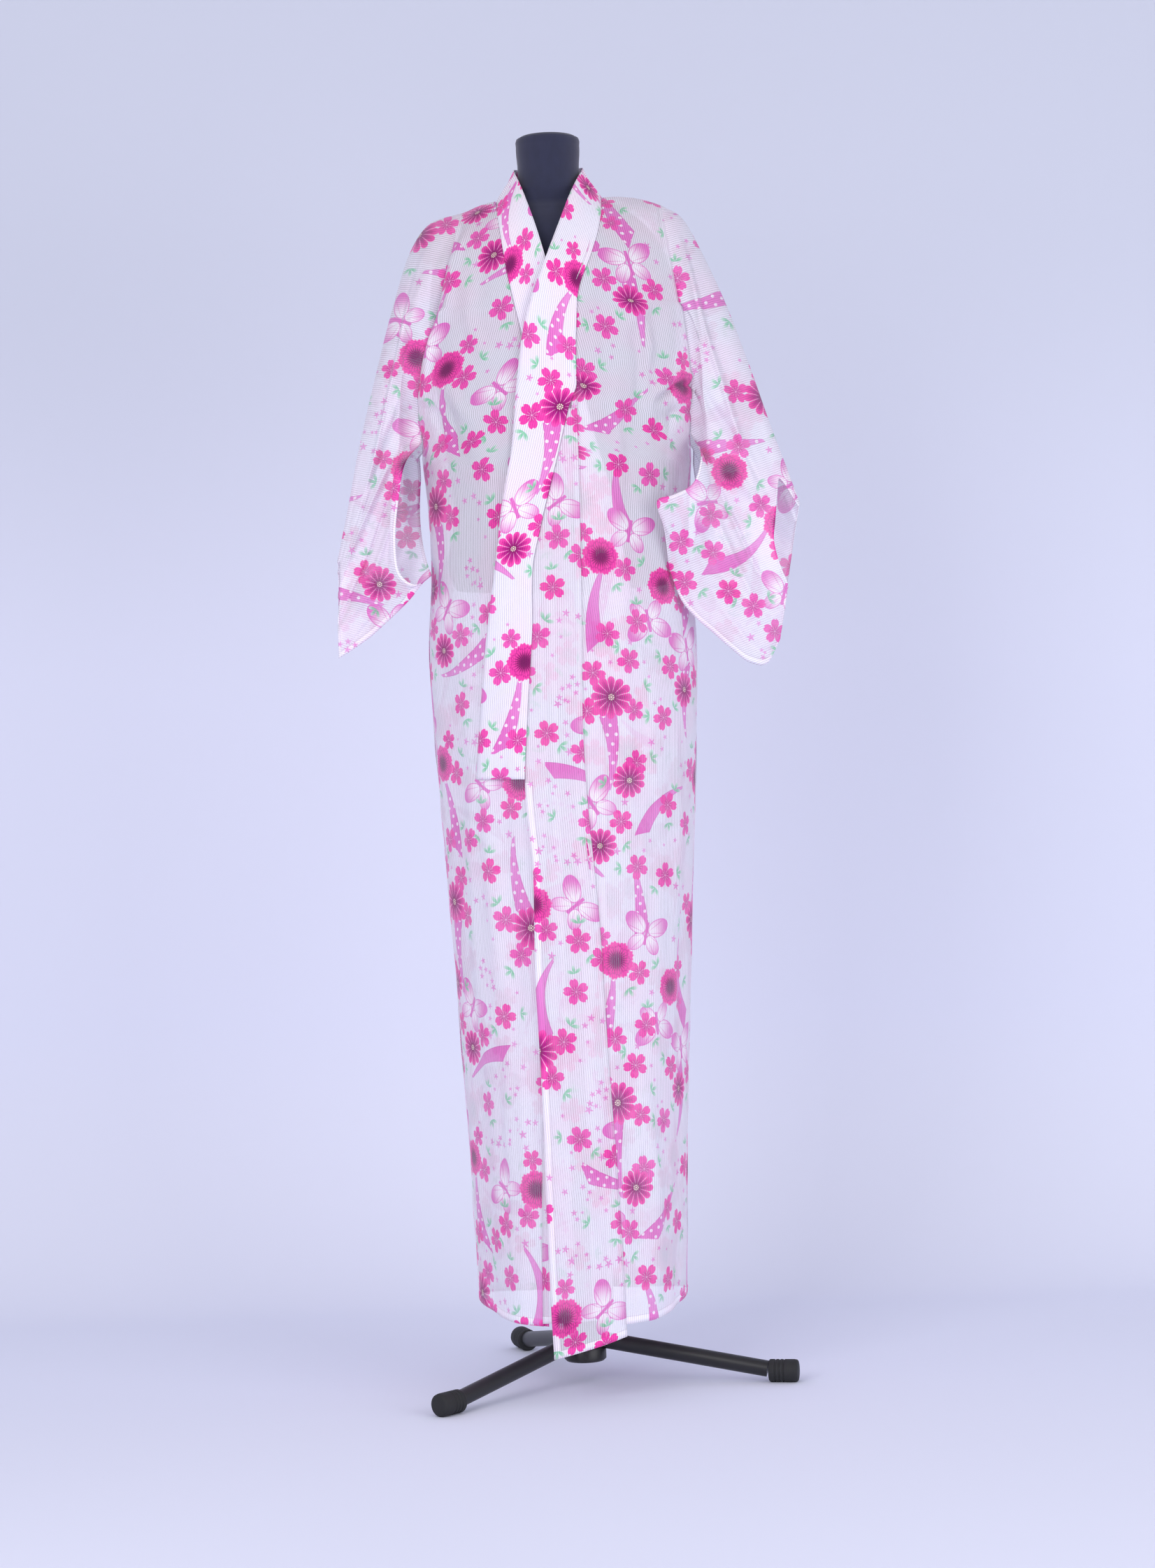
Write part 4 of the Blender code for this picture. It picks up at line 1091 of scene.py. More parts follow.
class Net:
    """Adds nodes to one tree and links them by short calls."""

    def __init__(self, tree: NodeTree) -> None:
        """Keeps the tree."""
        self.tree = tree

    def node(self, kind: str, **settings: object) -> Node:
        """A new node with these settings."""
        made = self.tree.nodes.new(kind)
        for name, value in settings.items():
            setattr(made, name, value)
        return made

    def feed(self, socket: NodeSocket, value: Link) -> None:
        """Links a socket to another, or sets its own value."""
        if isinstance(value, NodeSocket):
            self.tree.links.new(value, socket)
        else:
            socket.default_value = value

    def fill(self, node: Node, **values: Link) -> None:
        """Feeds a node's inputs, named with underscores for spaces."""
        for name, value in values.items():
            self.feed(node.inputs[name.replace("_", " ")], value)

    def math(self, operation: str, *values: Link, clamp: bool = False) -> NodeSocket:
        """One Math node."""
        made = self.node("ShaderNodeMath", operation=operation, use_clamp=clamp)
        for socket, value in zip(made.inputs, values):
            self.feed(socket, value)
        return made.outputs[0]

    def times(self, first: Link, second: Link) -> NodeSocket:
        """The product of two values."""
        return self.math("MULTIPLY", first, second)

    def plus(self, first: Link, second: Link) -> NodeSocket:
        """The sum of two values."""
        return self.math("ADD", first, second)

    def less(self, first: Link, second: Link) -> NodeSocket:
        """The first value less the second."""
        return self.math("SUBTRACT", first, second)

    def fma(self, first: Link, second: Link, third: Link) -> NodeSocket:
        """The product of two values, with a third added."""
        return self.math("MULTIPLY_ADD", first, second, third)

    def size(self, value: Link) -> NodeSocket:
        """The value without its sign."""
        return self.math("ABSOLUTE", value)

    def sine(self, value: Link) -> NodeSocket:
        """The sine of an angle in radians."""
        return self.math("SINE", value)

    def polar(self, x: Link, y: Link) -> tuple[NodeSocket, NodeSocket]:
        """Radius and angle."""
        radius = self.math("SQRT", self.plus(self.times(x, x), self.times(y, y)))
        return radius, self.math("ARCTAN2", y, x)

    def petals(self, angle: Link, count: float, start: Link = 0.0) -> NodeSocket:
        """|cos(count * angle / 2 + start)|: 1 in the middle of each of count petals, 0 between."""
        return self.size(self.math("COSINE", self.fma(angle, count / 2, start)))

    def span(self, value: Link, low: Link, high: Link) -> NodeSocket:
        """0 below low, 1 above high, smooth between; falls instead where low is above high."""
        made = self.node("ShaderNodeMapRange", interpolation_type="SMOOTHSTEP")
        self.fill(made, Value=value, From_Min=low, From_Max=high)
        return made.outputs["Result"]

    def mix(self, factor: Link, first: Link, second: Link) -> NodeSocket:
        """Mixes two colours."""
        made = self.node("ShaderNodeMix", data_type="RGBA")
        for index, value in ((0, factor), (6, first), (7, second)):
            self.feed(made.inputs[index], value)
        return made.outputs[2]

    def vector(self, operation: str, first: Link, second: Link, named: str = "") -> NodeSocket:
        """One Vector Math node, with its second input found by name if one is given."""
        made = self.node("ShaderNodeVectorMath", operation=operation)
        self.feed(made.inputs[0], first)
        self.feed(made.inputs[named or 1], second)
        return made.outputs[0]

    def parts(self, vector: Link) -> tuple[NodeSocket, ...]:
        """The three parts of a vector."""
        made = self.node("ShaderNodeSeparateXYZ")
        self.feed(made.inputs[0], vector)
        return tuple(made.outputs)

    def attribute(self, name: str) -> NodeSocket:
        """The vector of a mesh attribute."""
        return self.node("ShaderNodeAttribute", attribute_name=name).outputs["Vector"]

    def noise(self, place: Link, scale: Link, detail: float = 1.0,
              roughness: float = 0.5) -> NodeSocket:
        """A Noise Texture's value."""
        made = self.node("ShaderNodeTexNoise")
        self.fill(made, Vector=place, Scale=scale, Detail=detail, Roughness=roughness)
        return made.outputs["Fac"]

    def bump(self, height: Link, strength: float = 1.0) -> NodeSocket:
        """The normal of a relief of this height in metres."""
        made = self.node("ShaderNodeBump")
        self.fill(made, Strength=strength, Distance=1.0, Height=height)
        return made.outputs["Normal"]

    def group(self, tree: NodeTree, **values: Link) -> Node:
        """A node group with these inputs."""
        made = self.node("ShaderNodeGroup", node_tree=tree)
        self.fill(made, **values)
        return made

    def most(self, *values: Link) -> NodeSocket:
        """The largest of several values."""
        return reduce(lambda first, second: self.math("MAXIMUM", first, second), values)

    def least(self, *values: Link) -> NodeSocket:
        """The smallest of several values."""
        return reduce(lambda first, second: self.math("MINIMUM", first, second), values)


def new_group(name: str, inputs: str, outputs: str,
              ) -> tuple[NodeTree, Net, Node, Node]:
    """Makes an empty shader node group with its sockets.

    Args:
        name: The group's name.
        inputs: Names and kinds of its inputs, such as "Place Vector, Rib Float".
        outputs: The same for its outputs.

    Returns:
        The tree, its Net, its input node and its output node.
    """
    tree = bpy.data.node_groups.new(name, "ShaderNodeTree")
    for way, sockets in (("INPUT", inputs), ("OUTPUT", outputs)):
        for label, kind in (socket.split() for socket in sockets.split(",")):
            tree.interface.new_socket(label, in_out=way, socket_type=f"NodeSocket{kind}")
    net = Net(tree)
    return tree, net, net.node("NodeGroupInput"), net.node("NodeGroupOutput")


def new_material(name: str) -> tuple[Material, Net, Node]:
    """Makes an empty material, and gives its Net and its Principled node with it."""
    made = bpy.data.materials.new(name)
    made.use_nodes = True
    return made, Net(made.node_tree), made.node_tree.nodes["Principled BSDF"]


@dataclass(frozen=True)
class Inks:
    """Colours of the print."""

    hot: tuple = linear(250, 66, 172)
    pink: tuple = linear(246, 100, 190)
    deep: tuple = linear(176, 22, 130)
    wine: tuple = linear(122, 10, 92)
    mauve: tuple = linear(232, 118, 200)
    pale: tuple = linear(250, 196, 232)
    lilac: tuple = linear(236, 148, 216)
    green: tuple = linear(122, 206, 160)
    pollen: tuple = linear(250, 236, 214)
    bare: tuple = linear(252, 244, 252)


INKS = Inks()
SOFT = 0.02  # width of a printed edge, in motif radii


class MotifGroups:
    """Builds a shader group for each kind of motif, with a place in and mask and colour out.

    A motif's own method takes the group's Net, the place x, y in motif radii and the seed, and
    returns the mask and the colour.
    """

    def __init__(self) -> None:
        """Builds them all."""
        makers = (self.star, self.streamer, self.butterfly, self.leaf, self.blossom,
                  self.carnation, self.daisy)
        self.trees = {motif: self._build(motif, maker) for motif, maker in zip(Motif, makers)}

    @staticmethod
    def _build(motif: Motif, maker: Callable[..., tuple]) -> NodeTree:
        """Wraps a maker's mask and colour in a group."""
        tree, net, start, end = new_group(f"print_{motif.value}", "Place Vector",
                                          "Mask Float, Colour Color")
        mask, colour = maker(net, *net.parts(start.outputs["Place"]))
        net.fill(end, Mask=mask, Colour=colour)
        return tree

    @staticmethod
    def blossom(net: Net, x: Link, y: Link, seed: Link) -> tuple:
        """Five broad petals: radius 0.20 + 0.78 |cos(5a/2)|^0.42, less a notch at each tip."""
        radius, angle = net.polar(x, y)
        petal = net.petals(angle, 5)
        notch = net.times(net.span(petal, 0.975, 1.0), 0.09)
        edge = net.less(net.fma(net.math("POWER", petal, 0.42), 0.78, 0.20), notch)
        mask = net.span(net.less(radius, edge), SOFT, -SOFT)
        tone = net.mix(seed, INKS.pink, INKS.hot)
        shade = net.times(net.span(radius, 0.62, 0.12),
                          net.fma(net.petals(angle, 30, 0.3), 0.35, 0.40))
        colour = net.mix(shade, tone, INKS.deep)
        stamen = net.times(net.span(net.petals(angle, 10, 0.9), 0.94, 0.99),
                           net.span(radius, 0.44, 0.30))
        parting = net.times(net.span(petal, 0.16, 0.04), net.span(radius, 0.42, 0.20))
        light = net.most(stamen, net.times(parting, 0.7), net.span(radius, 0.08, 0.05))
        return mask, net.mix(net.times(light, 0.75), colour, INKS.pale)

    @staticmethod
    def daisy(net: Net, x: Link, y: Link, seed: Link) -> tuple:
        """Twelve round-ended petals, dark toward a ring of pollen, with pale lines between them.

        Radius = 0.62 + 0.34 |cos(6a)|^0.4 and a slow wave, so the petals differ in length.
        """
        radius, angle = net.polar(x, y)
        start = net.times(seed, 3.0)
        petal = net.petals(angle, 12, start)
        lift = net.times(net.sine(net.fma(angle, 3.0, start)), 0.035)
        edge = net.plus(net.fma(net.math("POWER", petal, 0.40), 0.34, 0.62), lift)
        mask = net.span(net.less(radius, edge), SOFT, -SOFT)
        line = net.times(net.span(petal, 0.20, 0.09), net.span(radius, 0.18, 0.34))
        streak = net.petals(angle, 60, start)
        depth = net.fma(net.less(1.0, petal), 0.30, net.fma(streak, -0.12, radius))
        colour = net.mix(net.span(depth, 0.34, 0.92), INKS.deep, INKS.hot)
        colour = net.mix(net.times(net.span(radius, 0.42, 0.12), 0.75), colour, INKS.wine)
        tip = net.times(net.span(radius, 0.72, 0.98), 0.45)
        colour = net.mix(tip, colour, INKS.pink)
        colour = net.mix(net.times(line, 0.75), colour, INKS.pale)
        ring = net.span(net.size(net.less(radius, 0.11)), 0.05, 0.02)
        pollen = net.times(ring, net.span(net.petals(angle, 9, start), 0.5, 0.8))
        return mask, net.mix(net.most(pollen, net.span(radius, 0.05, 0.03)), colour, INKS.pollen)

    @staticmethod
    def carnation(net: Net, x: Link, y: Link, seed: Link) -> tuple:
        """A ruffled round of narrow petals in two rows, wine in the middle.

        Outer radius = 0.91 with waves of 9 and 31 round it. An inner row has such an edge at
        0.64, with a dark shadow outside it.
        """
        radius, angle = net.polar(x, y)
        start = net.times(seed, 6.28)
        broad = net.sine(net.fma(angle, 9.0, start))
        fine = net.sine(net.fma(angle, 31.0, start))
        ruffle = net.fma(broad, 0.040, net.times(fine, 0.030))
        edge = net.plus(ruffle, 0.91)
        mask = net.span(net.less(radius, edge), SOFT, -SOFT)
        spikes = net.fma(net.petals(angle, 26, start), -0.24, radius)
        colour = net.mix(net.span(spikes, 0.08, 0.52), INKS.wine, INKS.hot)
        row = net.fma(fine, -0.03, net.less(radius, net.fma(broad, -0.05, 0.64)))
        shadow = net.times(net.span(row, -0.005, 0.015), net.span(row, 0.13, 0.02))
        colour = net.mix(net.times(shadow, 0.55), colour, INKS.deep)
        rim = net.span(net.less(radius, edge), -0.06, -0.01)
        return mask, net.mix(net.times(rim, 0.35), colour, INKS.pale)

    @staticmethod
    def streamer(net: Net, x: Link, y: Link, seed: Link) -> tuple:
        """A bent band that tapers to a point, plain or with scattered round dots.

        Across the band, c = y - bend (1/2 - x^2), with the bend from -0.34 to 0.34. Its half
        width is 0.135 less 0.105 x, and a slant cuts its ends where |x| + 0.9 c passes 1.
        """
        bend = net.fma(seed, 0.68, -0.34)
        hump = net.less(0.5, net.times(x, x))
        across = net.fma(net.times(bend, -1.0), hump, y)
        half = net.fma(x, -0.105, 0.135)
        slant = net.fma(net.plus(across, 0.05), 0.9, net.size(x))
        side = net.less(net.size(across), half)
        mask = net.times(net.span(side, 0.008, -0.008), net.span(slant, 0.99, 0.975))
        colour = net.mix(net.span(net.fma(across, 1.2, net.times(x, 0.5)), -0.5, 0.6),
                         INKS.mauve, INKS.lilac)
        column = net.times(x, 4.6)
        row = net.fma(across, 4.6, net.times(net.math("FLOOR", column), 0.5))
        u = net.less(net.math("FRACT", column), 0.5)
        v = net.less(net.math("FRACT", row), 0.5)
        spot = net.times(net.span(net.polar(u, v)[0], 0.22, 0.16),
                         net.span(seed, 0.25, 0.26))
        colour = net.mix(net.times(spot, 0.9), colour, INKS.bare)
        return mask, net.mix(net.times(net.span(side, -0.03, -0.01), 0.25), colour, INKS.deep)

    @staticmethod
    def butterfly(net: Net, x: Link, y: Link, seed: Link) -> tuple:
        """Two pairs of wings and a body: the smallest distance of two ellipses and a bar.

        The wings are clear in the middle with a mauve rim and veins from the body, and shade to
        mauve toward their tips.
        """
        mirrored = net.size(x)

        def ellipse(cx: float, cy: float, turn: float, long: float, wide: float) -> Link:
            """Distance from an ellipse's middle, 1 on its outline, in |x| and y."""
            dx = net.plus(mirrored, -cx)
            dy = net.plus(y, -cy)
            c, s = bearing(turn)
            along = net.math("DIVIDE", net.fma(dx, c, net.times(dy, s)), long)
            aside = net.math("DIVIDE", net.fma(dy, c, net.times(dx, -s)), wide)
            return net.polar(along, aside)[0]

        upper = ellipse(0.50, 0.30, 30, 0.50, 0.31)
        lower = ellipse(0.34, -0.34, -48, 0.38, 0.25)
        body = net.most(net.times(mirrored, 18.0), net.times(net.size(y), 2.5))
        nearest = net.least(upper, lower, body)
        mask = net.span(nearest, 1.0 + SOFT, 1.0 - SOFT)
        reach, angle = net.polar(mirrored, y)
        colour = net.mix(net.span(reach, 0.25, 1.0), INKS.bare, INKS.mauve)
        vein = net.times(net.span(net.petals(angle, 11, 0.4), 0.20, 0.06),
                         net.span(reach, 0.12, 0.22))
        colour = net.mix(net.times(vein, 0.7), colour, INKS.mauve)
        colour = net.mix(net.times(net.span(nearest, 0.86, 0.95), 0.9), colour, INKS.mauve)
        return mask, net.mix(net.span(body, 1.05, 0.9), colour, INKS.mauve)

    @staticmethod
    def leaf(net: Net, x: Link, y: Link, seed: Link) -> tuple:
        """A fan of pointed leaflets on one side of the stalk: radius 0.98 |cos(6a/2)|^0.9."""
        radius, angle = net.polar(x, y)
        blade = net.math("POWER", net.petals(angle, 6), 0.9)
        fan = net.span(net.size(angle), 1.60, 1.50)
        edge = net.times(net.times(blade, 0.98), fan)
        mask = net.span(net.less(radius, edge), 0.05, -0.05)
        fade = net.times(net.span(radius, 0.35, 1.0), 0.55)
        return net.times(mask, 0.88), net.mix(fade, INKS.green, INKS.bare)

    @staticmethod
    def star(net: Net, x: Link, y: Link, seed: Link) -> tuple:
        """A five-pointed star: radius 0.34 + 0.66 (1 - t)^1.5, where t is 0 on a point's axis."""
        radius, angle = net.polar(x, y)
        turn = net.math("FRACT", net.fma(angle, 5 / (2 * math.pi), 5.5))
        off = net.times(net.size(net.less(turn, 0.5)), 2.0)
        edge = net.fma(net.math("POWER", net.less(1.0, off), 1.5), 0.66, 0.34)
        mask = net.span(net.less(radius, edge), 0.06, -0.06)
        return net.times(mask, 0.85), net.mix(seed, INKS.lilac, INKS.mauve)


class ClothGroups:
    """Shader groups shared by the robe's cloths: the whole print, the weave and the plies."""

    def __init__(self) -> None:
        """Builds them."""
        self.motifs = MotifGroups()
        self.print = self._print()
        self.weave = self._weave()
        self.plies = self._plies()

    def _print(self) -> NodeTree:
        """Lays the print's layers over the bare cloth's colour, from the bottom up."""
        tree, net, start, end = new_group("yukata_print", "Bare Color", "Colour Color, Ink Float")
        colour = start.outputs["Bare"]
        ink: Link = 0.0
        for motif in Motif:
            stamp = net.group(self.motifs.trees[motif], Place=net.attribute(motif.value))
            colour = net.mix(stamp.outputs["Mask"], colour, stamp.outputs["Colour"])
            ink = net.most(ink, stamp.outputs["Mask"])
        net.fill(end, Colour=colour, Ink=ink)
        return tree

    @staticmethod
    def _weave() -> NodeTree:
        """Ribs along the cloth and slubs across it, from its place on the flat cut in metres."""
        tree, net, start, end = new_group("ribbed_cotton", "Cut Vector, Rib Float",
                                          "Height Float, Density Float")
        cut = start.outputs["Cut"]
        across, along, _ = net.parts(cut)
        wander = net.times(net.sine(net.times(along, 9.0)), 0.0004)
        turns = net.math("DIVIDE", net.plus(across, wander), start.outputs["Rib"])
        rib = net.size(net.sine(net.times(turns, math.pi)))
        groove = net.span(rib, 0.42, 0.12)
        slub = net.noise(net.vector("MULTIPLY", cut, (420.0, 2400.0, 0.0)), 1.0)
        density = net.plus(net.fma(groove, -0.66, 0.26), net.fma(slub, 0.36, -0.18))
        net.fill(end, Height=net.times(groove, -0.8), Density=density)
        return tree

    @staticmethod
    def _plies() -> NodeTree:
        """How many plies lie at a place: one, and one more under seam allowances and hems, and a
        thin line along their inner edges where shade is painted.
        """
        tree, net, start, end = new_group(
            "plies_at_edges", "Edges Vector, Allowance Float, Hem Float",
            "Doubled Float, Fold Float")
        seam, hem, _ = net.parts(start.outputs["Edges"])
        past = [net.less(seam, start.outputs["Allowance"]), net.less(hem, start.outputs["Hem"])]
        line = net.least(*(net.size(value) for value in past))
        # the fold output is a thin line along the inner edge of each hem and seam allowance, which
        # the cloth darkens as painted shade
        net.fill(end, Doubled=net.most(*(net.span(value, 0.0004, -0.0004) for value in past)),
                 Fold=net.span(line, 0.0011, 0.0002))
        return tree


LINING = 0.16  # opacity of a ply that its inner surface has


@dataclass(frozen=True)
class CottonFinish:
    """Thin printed cotton.

    Attributes:
        name: Material name.
        bare: Colour of unprinted cloth.
        opacity: Opacity of a single ply, in both of its surfaces together.
        doubled: Opacity of two plies.
        rib: Distance between ribs, in metres.
        allowance: Width of the seam allowances.
        hem: Width of the hems.
        flush: Colour that the bare cloth wanders to.
        crease: Colour of the painted shade along the inner edges of hems and allowances.
        inside: Colour that the inner surface wanders to.
    """

    name: str
    bare: tuple = linear(247, 245, 255)
    opacity: float = 0.60
    doubled: float = 0.85
    rib: float = 0.0031
    allowance: float = 0.010
    hem: float = 0.010
    flush: tuple = linear(252, 238, 252)
    crease: tuple = linear(206, 190, 204)
    inside: tuple = linear(240, 228, 248)

    def material(self, groups: ClothGroups) -> Material:
        """The cotton's material: print on base colour with painted shade along the inner edges of
        hems and allowances, plies on alpha, weave on bump.

        Args:
            groups: Shader groups of the cloth.

        Returns:
            The material.
        """
        made, net, shader = new_material(self.name)
        cut = net.attribute("cut")
        weave = net.group(groups.weave, Cut=cut, Rib=self.rib)
        plies = net.group(groups.plies, Edges=net.attribute("edges"), Allowance=self.allowance,
                          Hem=self.hem)
        cloud = net.noise(cut, 14.0)
        bare = net.mix(net.span(cloud, 0.35, 0.70), self.bare, self.flush)
        # painted shade: a thin darker line along the inner edges of hems and seam allowances, where
        # the turned-in ply ends
        bare = net.mix(net.times(plies.outputs["Fold"], 0.35), bare, self.crease)
        printed = net.group(groups.print, Bare=bare)
        fade = net.fma(weave.outputs["Density"], 0.12, 0.98)
        tone = net.vector("SCALE", printed.outputs["Colour"], fade, "Scale")
        one, two = (1 - (1 - share) / (1 - LINING) for share in (self.opacity, self.doubled))
        alpha = net.fma(plies.outputs["Doubled"], two - one, one)
        alpha = net.plus(alpha, net.times(weave.outputs["Density"], 0.55))
        alpha = net.math("MULTIPLY_ADD", printed.outputs["Ink"], 0.16, alpha, clamp=True)
        crumple = net.noise(cut, 46.0, roughness=0.55)
        height = net.plus(net.times(weave.outputs["Height"], 0.00012), net.times(crumple, 0.0016))
        height = net.plus(height, net.times(plies.outputs["Doubled"], 0.00035))
        net.fill(shader, Base_Color=tone, Alpha=alpha, Normal=net.bump(height, 0.9),
                 Roughness=net.fma(cloud, 0.16, 0.74), Sheen_Weight=0.25, Sheen_Roughness=0.5,
                 Specular_IOR_Level=0.25)
        return made

    def wrong_side(self) -> Material:
        """The cloth's inner surface: bare and nearly clear, so the print shows through it paler."""
        made, net, shader = new_material(f"{self.name}_inside")
        cloud = net.noise(net.attribute("cut"), 60.0)
        net.fill(shader, Base_Color=net.mix(cloud, self.bare, self.inside), Alpha=LINING,
                 Roughness=0.85)
        return made


@dataclass(frozen=True)
class MottledFinish:
    """A finish of one hue with fine grain: jersey, painted steel or rubber.

    Attributes:
        name: Material name.
        dark: Darker colour.
        light: Lighter colour.
        scale: Grain's scale, in waves a metre.
        roughness: Lowest and highest roughness.
        relief: Height of the grain, in metres.
        metallic: Metallic value.
        sheen: Sheen weight.
        knit: Whether the grain is drawn out into a knit's columns.
    """

    name: str
    dark: tuple
    light: tuple
    scale: float
    roughness: tuple[float, float]
    relief: float
    metallic: float = 0.0
    sheen: float = 0.0
    knit: bool = False

    def material(self, grain: NodeTree) -> Material:
        """The finish's material on Object coordinates."""
        made, net, shader = new_material(self.name)
        place = net.node("ShaderNodeTexCoord").outputs["Object"]
        stretch = (1.0, 1.0, 0.45) if self.knit else (1.0, 1.0, 1.0)
        group = net.group(grain, Place=net.vector("MULTIPLY", place, stretch), Scale=self.scale)
        cloud, fine = group.outputs["Cloud"], group.outputs["Grain"]
        low, high = self.roughness
        net.fill(shader, Base_Color=net.mix(cloud, self.dark, self.light),
                 Roughness=net.fma(fine, high - low, low), Metallic=self.metallic,
                 Normal=net.bump(net.times(fine, self.relief)), Sheen_Weight=self.sheen)
        return made


def grain_group() -> NodeTree:
    """Grain and cloud: a fine noise at the given scale, and a slow one a thirtieth of it."""
    tree, net, start, end = new_group("grain", "Place Vector, Scale Float",
                                      "Grain Float, Cloud Float")
    place, scale = start.outputs["Place"], start.outputs["Scale"]
    fine = net.noise(place, scale, 3.0)
    slow = net.noise(place, net.math("DIVIDE", scale, 30.0), 3.0)
    net.fill(end, Grain=fine, Cloud=net.plus(net.times(slow, 0.6), net.times(fine, 0.4)))
    return tree


JERSEY = MottledFinish("black_jersey", linear(22, 25, 48), linear(38, 42, 74), 2600.0, (0.72, 0.95),
                       0.00012, sheen=0.35, knit=True)
BLACK_STEEL = MottledFinish("black_painted_steel", linear(16, 16, 19), linear(34, 34, 38), 900.0,
                            (0.30, 0.48), 0.00003)
RUBBER = MottledFinish("black_rubber", linear(20, 20, 22), linear(40, 41, 44), 1400.0, (0.62, 0.85),
                       0.00008)


@dataclass(frozen=True)
class PaperFinish:
    """Matt backdrop paper with painted shade that darkens it toward its top, a little uneven, and
    clear from behind.

    Attributes:
        name: Material name.
        dark: Colour at the top, where the painted shade is deepest.
        light: Colour at the bottom.
        fade: Heights between which the painted shade darkens it.
        scale: Waves a metre of its unevenness.
    """

    name: str = "lavender_paper"
    dark: tuple = linear(211, 215, 230)
    light: tuple = linear(229, 232, 248)
    fade: tuple[float, float] = (0.95, 1.85)
    scale: float = 1.1

    def material(self) -> Material:
        """The paper's material: one slow noise on colour and roughness, and painted shade that
        darkens its colour with height.
        """
        made, net, shader = new_material(self.name)
        place = net.node("ShaderNodeTexCoord").outputs["Object"]
        cloud = net.noise(place, self.scale)
        # painted shade: the colour darkens from the lower height of fade to the upper one
        high = net.span(net.parts(place)[2], *self.fade)
        share = net.math("SUBTRACT", net.fma(cloud, 0.4, 0.8), high, clamp=True)
        behind = net.node("ShaderNodeNewGeometry").outputs["Backfacing"]
        net.fill(shader, Base_Color=net.mix(share, self.dark, self.light),
                 Roughness=net.fma(cloud, 0.1, 0.85), Alpha=net.less(1.0, behind))
        return made


# ---------------------------------------------------------------- pieces

def axis_place() -> Array:
    """Where the pole's axis meets the floor, in the row frame."""
    low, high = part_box("pole")
    return np.array([(low.x + high.x) / 2, (low.y + high.y) / 2, 0.0])


AXIS = axis_place()


def add_object(name: str, data: ID) -> Object:
    """A new object in the scene."""
    made = bpy.data.objects.new(name, data)
    bpy.context.scene.collection.objects.link(made)
    return made


def mesh_object(name: str, points: Array, faces: list) -> Object:
    """A smooth mesh object at the origin, from points in axis coordinates."""
    mesh = bpy.data.meshes.new(name)
    mesh.from_pydata((points.reshape(-1, 3) + AXIS).tolist(), [], faces)
    mesh.shade_smooth()
    return add_object(name, mesh)


def solid_object(name: str, points: Array, faces: list, sharp: float = 40.0) -> Object:
    """A mesh object that is smooth except at edges sharper than this many degrees."""
    made = mesh_object(name, points, faces)
    made.data.set_sharp_from_angle(angle=math.radians(sharp))
    return made


def write_corners(mesh: Mesh, name: str, values: Array) -> None:
    """Adds a vector attribute of the mesh's corners: faces, corners, xyz."""
    attribute = mesh.attributes.new(name, "FLOAT_VECTOR", "CORNER")
    attribute.data.foreach_set("vector", np.ascontiguousarray(values, np.float32).reshape(-1))


def settle(piece: Object, slot: str, node: str, *finish: Material) -> None:
    """Rides a piece on the root body, lets it stand for a CAD node and adds its finish, if any."""
    for material in finish:
        piece.data.materials.append(material)
    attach(piece, "root")
    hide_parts(node)
    LOG.info("%s: %d faces", piece.name, len(piece.data.polygons))


TURNED_IN = (0.008, 0.013)  # distances from an edge between which the second ply thins out


